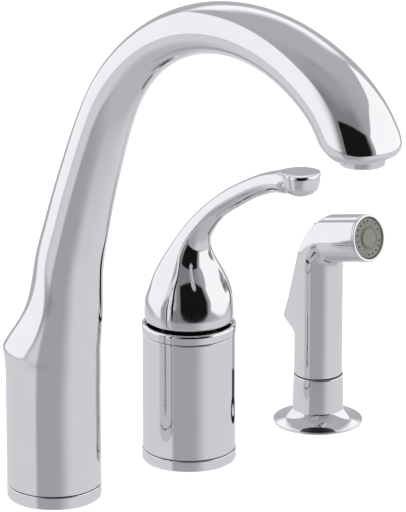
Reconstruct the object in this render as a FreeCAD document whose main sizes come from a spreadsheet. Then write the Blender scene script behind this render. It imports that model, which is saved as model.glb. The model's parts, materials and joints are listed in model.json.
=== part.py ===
import FreeCAD, Part

import math
import os
from types import SimpleNamespace

import Sketcher

# Side spray kitchen faucet: a swivelling gooseneck spout, a single lever valve and a pull-out
# hand spray, each standing on its own deck hole in one row.
# Origin: centre of the spout's hole on the deck. +Z up, X along the row of holes, user at -Y.
# Every piece is drawn about its own hole's axis, facing -Y. It is then turned by "facing_turn",
# the direction the set is left in, and moved along X to its hole. "Reach" is the distance out
# towards the user, "across" is to the user's right.

SIZES = {
    # the row of deck holes and the common clearances
    "hole_pitch": 101.6, "facing_turn": 9.3, "deck_thickness": 30.0, "edge": 0.3,
    "seam": 0.4, "run_gap": 0.05, "part_gap": 0.3, "thread_gap": 0.05, "cut_past": 40.0,
    # shanks, gaskets, washers and nuts below spout and valve
    "shank_radius": 15.8, "shank_length": 76.0, "gasket_thick": 1.2, "gasket_radius": 26.0,
    "washer_radius": 27.0, "washer_thick": 1.6, "nut_flats": 44.0, "nut_height": 12.0,
    "tube_radius": 4.7625, "tube_wall": 0.9, "tube_insert": 16.0, "tube_drop": 54.0,
    "tube_spigot": 4.4,
    # spout base, post and bearings
    "base_radius": 28.0, "base_ring_height": 7.7, "post_flange_radius": 20.3,
    "post_flange_height": 6.0, "post_radius": 16.0, "post_top": 62.0, "shell_bore": 19.0,
    "shell_bore_top": 66.0, "shell_wall": 3.0, "lower_bush_height": 10.0,
    "upper_bush_base": 46.0, "snap_base": 57.0, "snap_height": 1.5, "snap_radius": 18.3,
    "snap_groove": 14.6, "snap_mouth": 5.0, "seal_groove": 15.0, "seal_slot": 4.4,
    "lower_seal": 24.0, "upper_seal": 34.0,
    # spout side outline: body, heel, then the arcs of leg, arch and nose on its centre line
    "body_top": 64.0, "heel_height": 92.5, "heel_reach": 31.0, "heel_front": 29.0,
    "heel_width": 27.7, "arch_radius": 112.0, "arch_reach": 148.6, "arch_height": 200.0,
    "leg_radius": 700.0, "leg_angle": 68.0, "leg_foot_angle": 76.0,
    "nose_radius": 62.0, "nose_angle": -38.0, "nose_end_angle": -58.0,
    "thin_angle": 38.0, "thin_depth": 13.6, "thin_width": 16.6,
    "leg_depth": 18.6, "leg_width": 22.0, "nose_depth": 18.6, "nose_width": 24.6,
    "mouth_drop": 13.96, "mouth_shift": 5.04, "mouth_depth": 14.5, "mouth_width": 19.0,
    "mouth_roll": 8.3,
    # diverter, spray feed and aerator
    "diverter_shift": -3.5, "diverter_radius": 6.45, "diverter_base": 36.0,
    "diverter_length": 22.0, "diverter_end": 2.0, "diverter_chamber": 5.2, "diverter_port": 3.2,
    "poppet_radius": 5.1, "poppet_skirt": 3.0, "poppet_stem": 1.5, "poppet_head": 4.0,
    "poppet_travel": 3.0, "feed_shift": 9.5, "feed_bore": 3.0, "feed_cross": 30.0,
    "nipple_spigot": 4.2, "nipple_insert": 10.0, "nipple_collar": 5.6, "nipple_thread": 5.14,
    "nipple_length": 19.0, "nipple_bore": 2.6,
    "aerator_radius": 12.6, "aerator_drop": 4.6, "aerator_thread": 11.6, "aerator_grip": 8.0,
    "aerator_bore": 10.0, "aerator_lip": 9.2, "aerator_lip_thick": 1.5, "screen_thick": 0.8,
    "screen_hole": 0.65, "screen_pitch": 2.5, "insert_height": 7.0, "end_seal_thick": 1.5,
    "mouth_bore": 8.5,
    # valve body and its covers
    "valve_ring_radius": 28.4, "valve_ring_height": 6.6, "cover_radius": 28.1,
    "cover_wall": 1.5, "cover_top": 80.2, "land_radius": 27.4, "valve_flange_radius": 24.0,
    "valve_flange_height": 4.8, "valve_core_radius": 19.0, "valve_core_top": 70.0,
    "neck_radius": 15.6, "neck_top": 75.0, "trim_radius": 28.5, "trim_top": 86.5,
    "trim_bore": 26.3, "trim_skirt_bore": 24.9, "trim_web": 2.5, "bonnet_flange_radius": 21.0,
    "bonnet_flange": 3.0, "bonnet_radius": 17.0, "bonnet_top": 79.0,
    # mixing cartridge
    "cartridge_radius": 13.5, "cartridge_pit": 64.0, "cartridge_floor": 76.0,
    "cartridge_top": 104.0, "cartridge_bore": 12.6, "cartridge_lip": 9.0, "lip_thick": 2.0,
    "cartridge_flange_radius": 15.3, "cartridge_flange": 2.0, "port_ring": 8.5,
    "port_radius": 2.5, "seal_thick": 2.0, "seal_radius": 4.2, "disc_thick": 3.5,
    "moving_disc_radius": 10.3, "disc_shift": 2.1, "disc_pocket": 5.5, "disc_pocket_deep": 1.6,
    "coupler_radius": 8.0, "coupler_height": 3.5, "carrier_base": 87.0, "slot_half_width": 3.3,
    "slot_half_length": 8.0, "pivot_height": 98.0, "pivot_pin_radius": 1.5,
    "pivot_pin_half": 11.5, "stem_radius": 3.0, "stem_top": 124.0, "stem_neck": 1.6,
    "ball_radius": 2.2, "ball_drop": 12.4,
    # handle: dome, arm and thumb pad
    "dome_radius": 26.9, "dome_base": 88.0, "dome_cavity": 22.5, "cavity_top": 112.0,
    "pad_reach": 88.0, "pad_height": 199.0, "pad_radius": 11.4, "pad_depth": 11.0,
    "pad_tip_rise": 0.2, "screw_height": 116.0, "screw_radius": 2.0, "screw_length": 6.0,
    "plug_radius": 3.2,
    # spray holder
    "holder_radius": 27.6, "holder_rim": 1.3, "cup_foot": 8.6, "cup_foot_radius": 15.9,
    "cup_radius": 15.3, "cup_top": 31.0, "cup_bore": 13.6, "cup_seat": 9.0,
    "holder_bore": 12.2, "holder_shank": 14.2, "holder_shank_length": 52.0,
    "holder_gasket_radius": 25.0, "holder_gasket_thick": 1.0, "holder_nut_flats": 38.0,
    "holder_nut_height": 10.0, "holder_sweep": 17.0, "liner_wall": 1.1, "liner_rim": 0.4,
    # hand spray body
    "grip_radius": 15.0, "grip_shoulder": 104.0, "grip_top": 118.0, "grip_top_radius": 14.5,
    "plug_stem": 12.15, "plug_base": 13.0, "spigot_radius": 6.2, "spigot_base": 1.0,
    "barrel_radius": 14.7, "barrel_tilt": 12.6, "barrel_height": 118.6, "barrel_back": 8.0,
    "barrel_end": 39.6, "bezel_end": 41.0, "bezel_bore": 12.9, "face_seat": 36.0,
    "face_front": 40.3, "face_chamber": 12.0, "face_chamber_back": 33.0, "barrel_bore": 9.0,
    "barrel_bore_back": 11.0, "face_button": 6.0, "button_proud": 1.1, "jet_radius": 0.5,
    "jet_ring": 10.2, "jet_count": 18, "lower_bore": 4.0, "lower_bore_top": 83.5,
    "upper_bore_reach": 4.0, "upper_bore_base": 90.0, "upper_bore_top": 108.0,
    "elbow_base": 106.0, "elbow_length": 15.0,
    # thumb lever of the hand spray and its valve
    "lever_pin_reach": 2.0, "lever_pin_rise": 3.4, "lever_pin_radius": 1.25,
    "lever_pin_half": 11.5, "ear_radius": 3.2, "bend_back": 4.46, "bend_rise": 7.5,
    "bend_round": 7.0, "lever_end_forward": 5.16, "lever_end_rise": 4.7,
    "lever_spread": 20.04, "lever_fall": 64.5, "lever_depth": 4.7, "lever_half_width": 8.2,
    "lever_plate": 2.0, "lever_side": 1.2, "skirt_in": 9.0, "skirt_drop": 7.5,
    "hollow_rise": 2.5, "hollow_past_pin": 2.0, "press_room": 4.2, "channel_drop": 1.5,
    "knee_in": 12.1, "knee_rise": 12.5, "channel_top_back": 1.7, "channel_top_drop": 2.0,
    "channel_past_end": 6.0, "web_front": 4.5, "web_front_half": 14.2, "web_back_half": 9.6,
    "web_inset": 1.8, "web_base": 38.0, "web_drop": 2.5,
    "plunger_height": 88.0, "plunger_radius": 2.0, "plunger_tip": -13.1, "plunger_seat": -2.2,
    "plunger_seal": 1.0, "plunger_head": 4.2, "plunger_head_thick": 1.8, "valve_chamber": 5.0,
    "chamber_front": 12.0, "guide_radius": 3.4, "guide_back": -7.2, "spring_radius": 3.3,
    "spring_wire": 0.35, "spring_length": 8.9, "spring_turns": 5,
    # hose coupling under the hand spray
    "coupling_radius": 9.2, "coupling_top": 12.7, "coupling_base": -2.0, "clip_thick": 1.2,
    "clip_height": 4.5, "clip_groove": 5.2, "clip_radius": 7.6, "clip_mouth": 4.0,
    "hose_thread": 6.6, "hose_thread_length": 9.0, "hose_bore": 3.5,
}

DOC = FreeCAD.newDocument("SideSprayFaucet")
SHEET = DOC.addObject("Spreadsheet::Sheet", "Sizes")
for line, (name, number) in enumerate(SIZES.items(), start=1):
    SHEET.set("A%d" % line, name)
    SHEET.set("B%d" % line, str(number))
    SHEET.setAlias("B%d" % line, name)
DOC.recompute()

Vec = FreeCAD.Vector
Spin = FreeCAD.Rotation
UP = Vec(0, 0, 1)
SPOUT, VALVE, SPRAY = 0, 1, 2
SIDE_POINTS = 24
PARTS = []


class Dim:
    """A size that carries both its number and its expression on the sheet."""

    def __init__(self, number, text):
        self.number = float(number)
        self.text = text

    def __float__(self):
        return self.number

    def __add__(self, other):
        other = dim(other)
        return Dim(self.number + other.number, "(%s + %s)" % (self.text, other.text))

    def __sub__(self, other):
        other = dim(other)
        return Dim(self.number - other.number, "(%s - %s)" % (self.text, other.text))

    def __mul__(self, other):
        other = dim(other)
        return Dim(self.number * other.number, "(%s * %s)" % (self.text, other.text))

    def __truediv__(self, other):
        other = dim(other)
        return Dim(self.number / other.number, "(%s / %s)" % (self.text, other.text))

    def __neg__(self):
        return Dim(-self.number, "(0 - %s)" % self.text)

    def __radd__(self, other):
        return dim(other) + self

    def __rsub__(self, other):
        return dim(other) - self

    def __rmul__(self, other):
        return dim(other) * self


def dim(value):
    return value if isinstance(value, Dim) else Dim(value, repr(float(value)))


def cosine(angle):
    return Dim(math.cos(math.radians(float(angle))), "cos(%s * 1 deg)" % dim(angle).text)


def sine(angle):
    return Dim(math.sin(math.radians(float(angle))), "sin(%s * 1 deg)" % dim(angle).text)


def root(value):
    return Dim(math.sqrt(float(value)), "sqrt(%s)" % dim(value).text)


D = SimpleNamespace(**{name: Dim(SHEET.get(name), "Sizes." + name) for name in SIZES})


def size(name):
    return float(getattr(D, name))


# the spout's mouth hangs from the end of the nose's centre line
D.mouth_reach = (D.arch_reach - (D.arch_radius - D.nose_radius) * sine(D.nose_angle)
                 - D.nose_radius * sine(D.nose_end_angle) + D.mouth_shift)
D.mouth_height = (D.arch_height + (D.arch_radius - D.nose_radius) * cosine(D.nose_angle)
                  + D.nose_radius * cosine(D.nose_end_angle) - D.mouth_drop)
# the hand spray's lever and its channel follow the lever's pin
D.lever_pin_height = D.barrel_height + D.lever_pin_rise
D.bend_reach = D.lever_pin_reach - D.bend_back
D.bend_height = D.lever_pin_height + D.bend_rise
D.lever_end_reach = D.bend_reach + D.lever_end_forward
D.lever_end_height = D.bend_height + D.lever_end_rise
D.nose_reach = D.bend_reach - D.lever_spread
D.nose_height = D.bend_height - D.lever_fall
D.lever_skirt_reach = D.nose_reach + D.skirt_in
D.lever_skirt_base = D.nose_height - D.skirt_drop
D.lever_hollow_base = D.lever_skirt_base + D.hollow_rise
D.lever_hollow_top = D.lever_pin_height + D.hollow_past_pin
D.channel_low_reach = D.lever_skirt_reach + D.press_room
D.channel_base = D.lever_skirt_base - D.channel_drop
D.channel_knee_reach = D.nose_reach + D.knee_in
D.channel_knee_height = D.nose_height + D.knee_rise
D.channel_top_reach = D.lever_pin_reach - D.channel_top_back
D.channel_top_height = D.lever_pin_height - D.channel_top_drop
D.channel_end = D.lever_end_height + D.channel_past_end


# ---------------------------------------------------------------- building helpers


def place(part, station, across=0.0, reach=0.0, height=0.0, tilt=None, turn=D.facing_turn):
    """Set a finished piece on its hole's axis and turn it to the rest direction."""
    spots = {"x": station * D.hole_pitch + across * cosine(turn) + reach * sine(turn),
             "y": across * sine(turn) - reach * cosine(turn), "z": dim(height)}
    rotation = Spin(UP, float(turn)).multiply(tilt or Spin())
    part.Placement = FreeCAD.Placement(Vec(*[float(spots[axis]) for axis in "xyz"]), rotation)
    for axis, spot in spots.items():
        part.setExpression("Placement.Base." + axis, spot.text)
    PARTS.append(part)
    return part


def new_body(label):
    body = DOC.addObject("PartDesign::Body", label)
    body.Label = label
    return body


def new_sketch(body, name, role, offset=None, low=0.0):
    """A sketch on one of the body's own planes, moved along its normal to "low"."""
    plane = [item for item in body.Origin.OriginFeatures if item.Role == role][0]
    sketch = body.newObject("Sketcher::SketchObject", name)
    sketch.AttachmentSupport = [(plane, "")]
    sketch.MapMode = "FlatFace"
    if offset is None:
        sketch.AttachmentOffset = FreeCAD.Placement(Vec(0, 0, float(low)), Spin())
        sketch.setExpression("AttachmentOffset.Base.z", dim(low).text)
    else:
        sketch.AttachmentOffset = offset
    return sketch


def pin_point(sketch, geometry, end, across, along):
    """Bind one point of a sketch to a pair of sizes."""
    for kind, spot, axis in (("DistanceX", dim(across), -2), ("DistanceY", dim(along), -1)):
        if abs(float(spot)) < 1e-9:
            sketch.addConstraint(Sketcher.Constraint("PointOnObject", geometry, end, axis))
            continue
        ends = (-1, 1, geometry, end) if float(spot) > 0 else (geometry, end, -1, 1)
        spot = spot if float(spot) > 0 else -spot
        number = sketch.addConstraint(Sketcher.Constraint(kind, *ends, float(spot)))
        sketch.setExpression("Constraints[%d]" % number, spot.text)


def outline(sketch, corners):
    """Draw a closed outline. A corner (across, along) is reached by a straight stretch, and a
    corner (across, along, radius) by an arc, which bends to the left where radius is above 0."""
    points = [Vec(float(corner[0]), float(corner[1]), 0) for corner in corners]
    ends = []
    for index in range(len(points)):
        start, stop = points[index - 1], points[index]
        if len(corners[index]) == 2:
            ends.append((1, 2))
            sketch.addGeometry(Part.LineSegment(start, stop), False)
            continue
        radius = float(corners[index][2])
        chord = stop - start
        rise = math.sqrt(max(0.0, radius ** 2 - chord.Length ** 2 / 4.0))
        side = Vec(-chord.y, chord.x, 0).normalize() * math.copysign(rise, radius)
        centre = (start + stop) * 0.5 + side
        first, last = (start, stop) if radius > 0 else (stop, start)
        angles = [math.atan2(spot.y - centre.y, spot.x - centre.x) for spot in (first, last)]
        if angles[1] < angles[0]:
            angles[1] += 2.0 * math.pi
        circle = Part.Circle(centre, UP, abs(radius))
        ends.append((1, 2) if radius > 0 else (2, 1))
        sketch.addGeometry(Part.ArcOfCircle(circle, angles[0], angles[1]), False)
    for index in range(len(points)):
        following = (index + 1) % len(points)
        sketch.addConstraint(Sketcher.Constraint("Coincident", index, ends[index][1],
                                                 following, ends[following][0]))
    for index, corner in enumerate(corners):
        pin_point(sketch, index, ends[index][1], corner[0], corner[1])
        if len(corner) == 3:
            bend = dim(corner[2]) if float(corner[2]) > 0 else -dim(corner[2])
            number = sketch.addConstraint(Sketcher.Constraint("Radius", index, float(bend)))
            sketch.setExpression("Constraints[%d]" % number, bend.text)


def volume_of(body):
    return body.Tip.Shape.Volume if body.Tip else 0.0


def check_change(feature, before, adds):
    """Stop where a feature didn't add or cut what it should."""
    DOC.recompute()
    after = feature.Shape.Volume
    if (after <= before + 1e-6) if adds else (after >= before - 1e-6):
        raise ValueError("%s changes nothing" % feature.Label)


def revolve(body, name, corners, kind="Revolution", offset=None, role="XZ_Plane"):
    """Turn a half profile of (radius, height) corners about the sketch's upright axis."""
    before = volume_of(body)
    sketch = new_sketch(body, name + "Profile", role, offset)
    outline(sketch, corners)
    feature = body.newObject("PartDesign::" + kind, name)
    feature.Profile = sketch
    feature.ReferenceAxis = (sketch, ["V_Axis"])
    feature.Angle = 360.0
    check_change(feature, before, kind == "Revolution")


def run_out(body, name, sketch, low, high, kind, before):
    feature = body.newObject("PartDesign::" + kind, name)
    feature.Profile = sketch
    feature.Type = 0
    feature.Reversed = kind == "Pocket"
    length = dim(high) - low
    feature.Length = float(length)
    feature.setExpression("Length", length.text)
    check_change(feature, before, kind == "Pad")


def prism(body, name, corners, low, high, kind="Pad", role="XY_Plane"):
    """Add or cut a straight-sided form between two heights on the plane's normal."""
    before = volume_of(body)
    sketch = new_sketch(body, name + "Outline", role, low=low)
    outline(sketch, corners)
    run_out(body, name, sketch, low, high, kind, before)


def drill(body, name, spots, radius, low, high, role="XY_Plane"):
    """Cut round holes at (across, along) spots of a plane, between two heights on its normal."""
    before = volume_of(body)
    sketch = new_sketch(body, name + "Circles", role, low=low)
    for index, (across, along) in enumerate(spots):
        centre = Vec(float(across), float(along), 0)
        sketch.addGeometry(Part.Circle(centre, UP, float(radius)), False)
        pin_point(sketch, index, 3, across, along)
        number = sketch.addConstraint(Sketcher.Constraint("Radius", index, float(radius)))
        sketch.setExpression("Constraints[%d]" % number, dim(radius).text)
    run_out(body, name, sketch, low, high, "Pocket", before)


def turned(label, corners, station, **spot):
    """A piece turned from one half profile."""
    body = new_body(label)
    revolve(body, "Turned", corners)
    return place(body, station, **spot)


def ring_of(label, inner, outer, low, high, station, **spot):
    """A plain ring, washer or bush."""
    return turned(label, [(inner, low), (outer, low), (outer, high), (inner, high)],
                  station, **spot)


def notch(radius, floor, low, high):
    """Corners of a groove round an outside diameter."""
    return [(radius, low), (floor, low), (floor, high), (radius, high)]


def tube_profile():
    """Half profile of a copper tube that hangs from its socket in a shank."""
    inner, spigot = D.tube_radius - D.tube_wall, D.tube_spigot
    shoulder = -D.shank_length
    low, top = shoulder - D.tube_drop, shoulder + D.tube_insert
    return [(inner, low), (D.tube_radius, low), (D.tube_radius, shoulder), (spigot, shoulder),
            (spigot, top), (inner, top)]


def primitive(kind, name, low, **sizes):
    """A Part primitive on the height "low", with its properties bound to sizes."""
    item = DOC.addObject("Part::" + kind, name)
    item.Placement.Base = Vec(0, 0, float(low))
    item.setExpression("Placement.Base.z", dim(low).text)
    for title, value in sizes.items():
        setattr(item, title, float(value))
        item.setExpression(title, dim(value).text)
    return item


def pierced(name, block, bore, height, low, across=0.0, along=0.0):
    """A block with a plain bore through it, moved sideways."""
    cut = DOC.addObject("Part::Cut", name)
    cut.Base = block
    cut.Tool = primitive("Cylinder", name + "Hole", low, Radius=bore, Height=height)
    cut.Placement.Base = Vec(float(across), float(along), 0)
    cut.setExpression("Placement.Base.x", dim(across).text)
    cut.setExpression("Placement.Base.y", dim(along).text)
    return cut


def collar(name, inner, outer, high, thick, **spot):
    """A plain washer below the height "high"."""
    low = high - thick
    block = primitive("Cylinder", name + "Block", low, Radius=outer, Height=thick)
    return pierced(name, block, inner, thick, low, **spot)


def nut(name, flats, bore, high, height, **spot):
    """A hexagonal nut whose bore is the thread's major diameter."""
    low = high - height
    block = primitive("Prism", name + "Block", low, Circumradius=flats / root(3), Height=height)
    block.Polygon = 6
    return pierced(name, block, bore, height, low, **spot)


def group(label, items, station, **spot):
    """Identical pieces kept together as separate solids of one node."""
    compound = DOC.addObject("Part::Compound", label)
    compound.Label = label
    compound.Links = items
    DOC.recompute()
    return place(compound, station, **spot)


def free_form(label, shape, station, **spot):
    """A free-form piece, worked out in this file from the sheet's sizes."""
    part = DOC.addObject("Part::Feature", label)
    part.Label = label
    part.Shape = shape
    return place(part, station, **spot)


# ---------------------------------------------------------------- oval sections


def section(back, front, width, square=2.0):
    """An oval wire between a back and a front point (reach, height) with a half width. It is
    an ellipse at square 2, and fuller towards its corners above."""
    points = []
    for step in range(SIDE_POINTS):
        angle = 2.0 * math.pi * step / SIDE_POINTS
        along, across = math.cos(angle), math.sin(angle)
        full = (abs(along) ** square + abs(across) ** square) ** (-1.0 / square)
        share = (1.0 - along * full) / 2.0
        reach = back[0] + (front[0] - back[0]) * share
        height = back[1] + (front[1] - back[1]) * share
        points.append(Vec(across * full * width, -reach, height))
    curve = Part.BSplineCurve()
    curve.interpolate(Points=points, PeriodicFlag=True)
    return Part.Wire([curve.toShape()])


def skin(rungs):
    """A smooth solid through oval sections."""
    return Part.makeLoft([section(*rung) for rung in rungs], True, False)


def drawn_in(rung, wall):
    """The same section, smaller by a wall all round."""
    back, front, width = rung
    length = math.hypot(front[0] - back[0], front[1] - back[1])
    step = [(front[k] - back[k]) / length * wall for k in (0, 1)]
    return ((back[0] + step[0], back[1] + step[1]), (front[0] - step[0], front[1] - step[1]),
            width - wall)


def rod(radius, start, direction, length):
    return Part.makeCylinder(float(radius), float(length), start, direction)


# ---------------------------------------------------------------- spout shell


def path_point(angle):
    """Centre line point of the spout and the direction away from its arch's centre, where the
    path leans by an angle in degrees: 90 is straight up, 0 is level."""
    lean = math.radians(angle)
    away = (-math.sin(lean), math.cos(lean))
    centre = [size("arch_reach"), size("arch_height")]
    radius = size("arch_radius")
    for joint, bend, past in (("leg_angle", "leg_radius", angle > size("leg_angle")),
                              ("nose_angle", "nose_radius", angle < size("nose_angle"))):
        if past:
            turn = math.radians(size(joint))
            shift = radius - size(bend)
            centre = [centre[0] - shift * math.sin(turn), centre[1] + shift * math.cos(turn)]
            radius = size(bend)
    return (centre[0] + radius * away[0], centre[1] + radius * away[1]), away


def path_length(angle):
    """Length along the centre line from the spout's thinnest section, below 0 past it."""
    leg, nose = size("leg_angle"), size("nose_angle")
    length = size("arch_radius") * (min(max(angle, nose), leg) - size("thin_angle"))
    length += size("leg_radius") * max(0.0, angle - leg)
    length += size("nose_radius") * min(0.0, angle - nose)
    return math.radians(length)


def path_rung(angle):
    """Section of the spout square to its centre line."""
    (reach, height), away = path_point(angle)
    side, power, limit = "leg", 1.4, size("leg_foot_angle")
    if path_length(angle) < 0:
        side, power, limit = "nose", 1.5, size("nose_end_angle")
    share = (path_length(angle) / path_length(limit)) ** power
    depth = size("thin_depth") + (size(side + "_depth") - size("thin_depth")) * share
    width = size("thin_width") + (size(side + "_width") - size("thin_width")) * share
    return ((reach + depth * away[0], height + depth * away[1]),
            (reach - depth * away[0], height - depth * away[1]), width)


def body_rungs():
    """Spout body, from its seam up to the ridge of the heel."""
    radius = size("base_radius")
    low, heel = size("base_ring_height") + size("seam"), size("heel_height")
    rungs = [((-radius, low), (radius, low), radius)]
    for share, flare in ((0.0, 0.0), (0.42, 0.1), (0.74, 0.42), (1.0, 1.0)):
        height = size("body_top") + (heel - size("body_top")) * share
        back = -radius + (radius - size("heel_reach")) * flare
        front = radius + (size("heel_front") - radius) * share
        width = radius + (size("heel_width") - radius) * share
        rungs.append(((back, height), (front, height), width))
    return rungs


def shoulder_rungs():
    """From the ridge of the heel up to the foot of the leg."""
    foot_back, foot_front, foot_width = path_rung(size("leg_foot_angle"))
    heel = size("heel_height")
    rungs = []
    for share, back_in, front_in, width_in in ((0.0, 0.0, 0.0, 0.0), (0.115, 0.188, 0.13, 0.12),
                                               (0.254, 0.424, 0.27, 0.30),
                                               (0.484, 0.725, 0.54, 0.60)):
        rungs.append((
            (-size("heel_reach") + (foot_back[0] + size("heel_reach")) * back_in,
             heel + (foot_back[1] - heel) * share),
            (size("heel_front") + (foot_front[0] - size("heel_front")) * front_in,
             heel + (foot_front[1] - heel) * share),
            size("heel_width") + (foot_width - size("heel_width")) * width_in))
    return rungs


def arch_rungs():
    """Leg, arch and nose, square to the centre line."""
    foot = size("leg_foot_angle")
    angles = [foot, foot - 1.5, foot - 3.0, foot - 5.5, size("leg_angle")]
    angles += [60, 50, 40, 30, 18, 6, -6, -18, -30, -40, -50, size("nose_end_angle")]
    return [path_rung(angle) for angle in angles]


def mouth_rungs():
    """The rounded lower rim of the spout, down to the flat round the aerator."""
    reach, height, roll = size("mouth_reach"), size("mouth_height"), size("mouth_roll")
    depth, width = size("mouth_depth"), size("mouth_width")
    rungs = []
    for back_out, back_up, front_out, front_up, widen in (
            (0.52, 0.99, 0.59, 0.566, 0.65), (0.566, 0.566, 0.37, 0.40, 0.554),
            (0.40, 0.193, 0.06, 0.205, 0.313), (0.0, 0.0, 0.0, 0.0, 0.0)):
        rungs.append(((reach + depth + back_out * roll, height + back_up * roll),
                      (reach - depth - front_out * roll, height + front_up * roll),
                      width + widen * roll))
    return rungs


def spout_shell_shape():
    low = size("base_ring_height") + size("seam")
    bore, bore_top, wall = size("shell_bore"), size("shell_bore_top"), size("shell_wall")
    arch = arch_rungs()
    outer = skin(body_rungs()).fuse(skin(shoulder_rungs() + arch + mouth_rungs()))
    inside = [rod(bore, Vec(0, 0, low - 1.0), UP, bore_top - low + 1.0)]
    inside.append(skin([((2.0 - bore, bore_top - 2.0), (bore - 2.0, bore_top - 2.0), bore - 2.0),
                        ((2.5 - bore, bore_top + 20.0), (bore, bore_top + 20.0), bore - 2.0),
                        ((6.5 - bore, bore_top + 38.0), (bore + 4.0, bore_top + 36.0),
                         bore - 2.0),
                        ((12.5 - bore, bore_top + 62.0), (bore + 7.5, bore_top + 60.0),
                         bore - 2.5)]
                       + [drawn_in(rung, wall) for rung in arch]))
    mouth = Vec(0, -size("mouth_reach"), size("mouth_height"))
    grip = size("aerator_grip") + size("end_seal_thick")
    inside.append(rod(D.aerator_thread + D.thread_gap, mouth - UP, UP, grip + 1.0))
    inside.append(rod(D.mouth_bore, mouth, UP, grip + 12.0))
    return outer.cut(inside)


# ---------------------------------------------------------------- spout cluster

ring_top = D.base_ring_height
flange_top = D.gasket_thick + D.post_flange_height
seam_top = ring_top + D.seam
post_gap = D.post_radius + D.part_gap
shank_foot = -D.shank_length
washer_bore = D.shank_radius + D.part_gap
nut_bore = D.shank_radius + D.thread_gap
nut_top = -D.deck_thickness - D.washer_thick

turned("spout_base_ring", [
    (D.gasket_radius + D.part_gap, 0), (D.base_radius, 0), (D.base_radius, ring_top - D.edge),
    (D.base_radius - D.edge, ring_top), (post_gap, ring_top), (post_gap, flange_top),
    (D.post_flange_radius + D.part_gap, flange_top),
    (D.post_flange_radius + D.part_gap, D.gasket_thick),
    (D.gasket_radius + D.part_gap, D.gasket_thick)], SPOUT)
ring_of("spout_deck_gasket", washer_bore, D.gasket_radius, 0, D.gasket_thick, SPOUT)
ring_of("spout_bearing_washer", post_gap, D.gasket_radius, ring_top, seam_top, SPOUT)
ring_of("spout_lower_bush", D.post_radius + D.run_gap, D.shell_bore - D.run_gap, seam_top,
        seam_top + D.lower_bush_height, SPOUT)
ring_of("spout_upper_bush", D.post_radius + D.run_gap, D.shell_bore - D.run_gap,
        D.upper_bush_base, D.snap_base, SPOUT)

post = new_body("spout_post")
revolve(post, "Turned", [
    (0, shank_foot), (D.shank_radius, shank_foot), (D.shank_radius, D.gasket_thick),
    (D.post_flange_radius, D.gasket_thick), (D.post_flange_radius, flange_top),
    (D.post_radius, flange_top)]
    + notch(D.post_radius, D.seal_groove, D.lower_seal, D.lower_seal + D.seal_slot)
    + notch(D.post_radius, D.seal_groove, D.upper_seal, D.upper_seal + D.seal_slot)
    + notch(D.post_radius, D.snap_groove, D.snap_base, D.snap_base + D.snap_height + D.run_gap)
    + [(D.post_radius, D.post_top), (0, D.post_top)])
supply_spot = [(D.diverter_shift, 0)]
feed_spot = [(D.feed_shift, 0)]
socket_top = D.tube_insert - D.shank_length
nipple_top = D.nipple_insert - D.shank_length
drill(post, "SupplyBore", supply_spot, D.tube_radius - D.tube_wall, shank_foot, D.post_top)
drill(post, "TubeSocket", supply_spot, D.tube_spigot + D.run_gap, shank_foot, socket_top)
drill(post, "CageBore", supply_spot, D.diverter_radius + D.run_gap, D.diverter_base, D.post_top)
drill(post, "FeedBore", feed_spot, D.feed_bore, shank_foot, D.feed_cross + D.feed_bore)
drill(post, "NippleSocket", feed_spot, D.nipple_spigot + D.run_gap, shank_foot, nipple_top)
drill(post, "CrossBore", [(0, D.feed_cross)], D.feed_bore - 0.5, D.diverter_shift, D.feed_shift,
      role="YZ_Plane")
place(post, SPOUT)

seal_minor = (D.shell_bore - D.seal_groove) / 2 - D.run_gap
seal_major = (D.shell_bore + D.seal_groove) / 2
group("spout_seal_rings", [
    primitive("Torus", name, low + D.seal_slot / 2, Radius1=seal_major, Radius2=seal_minor)
    for name, low in (("LowerSeal", D.lower_seal), ("UpperSeal", D.upper_seal))], SPOUT)

snap = new_body("spout_snap_ring")
snap_top = D.snap_base + D.snap_height
revolve(snap, "Turned", [
    (D.snap_groove + D.run_gap, D.snap_base), (D.snap_radius, D.snap_base),
    (D.snap_radius, snap_top), (D.snap_groove + D.run_gap, snap_top)])
half_mouth = D.snap_mouth / 2
prism(snap, "Mouth", [(-half_mouth, D.snap_groove - 1), (half_mouth, D.snap_groove - 1),
                      (half_mouth, D.snap_radius + 1), (-half_mouth, D.snap_radius + 1)],
      D.snap_base, snap_top, kind="Pocket")
place(snap, SPOUT)

free_form("spout_shell", spout_shell_shape(), SPOUT)

cage_top = D.diverter_base + D.diverter_length
cage_floor = D.diverter_base + D.diverter_end
cage_roof = cage_top - D.diverter_end
turned("diverter_cage", [
    (D.diverter_port, D.diverter_base), (D.diverter_radius, D.diverter_base),
    (D.diverter_radius, cage_top), (D.diverter_port, cage_top), (D.diverter_port, cage_roof),
    (D.diverter_chamber, cage_roof), (D.diverter_chamber, cage_floor),
    (D.diverter_port, cage_floor)], SPOUT, across=D.diverter_shift)
poppet_top = cage_roof - D.poppet_travel - D.run_gap
poppet_neck = poppet_top - 2
skirt_top = cage_floor + D.poppet_skirt
turned("diverter_poppet", [
    (0, cage_floor), (D.poppet_radius, cage_floor), (D.poppet_radius, skirt_top),
    (D.poppet_stem, skirt_top), (D.poppet_stem, poppet_neck), (D.poppet_head, poppet_neck),
    (D.poppet_head, poppet_top), (0, poppet_top)], SPOUT, across=D.diverter_shift)

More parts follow.
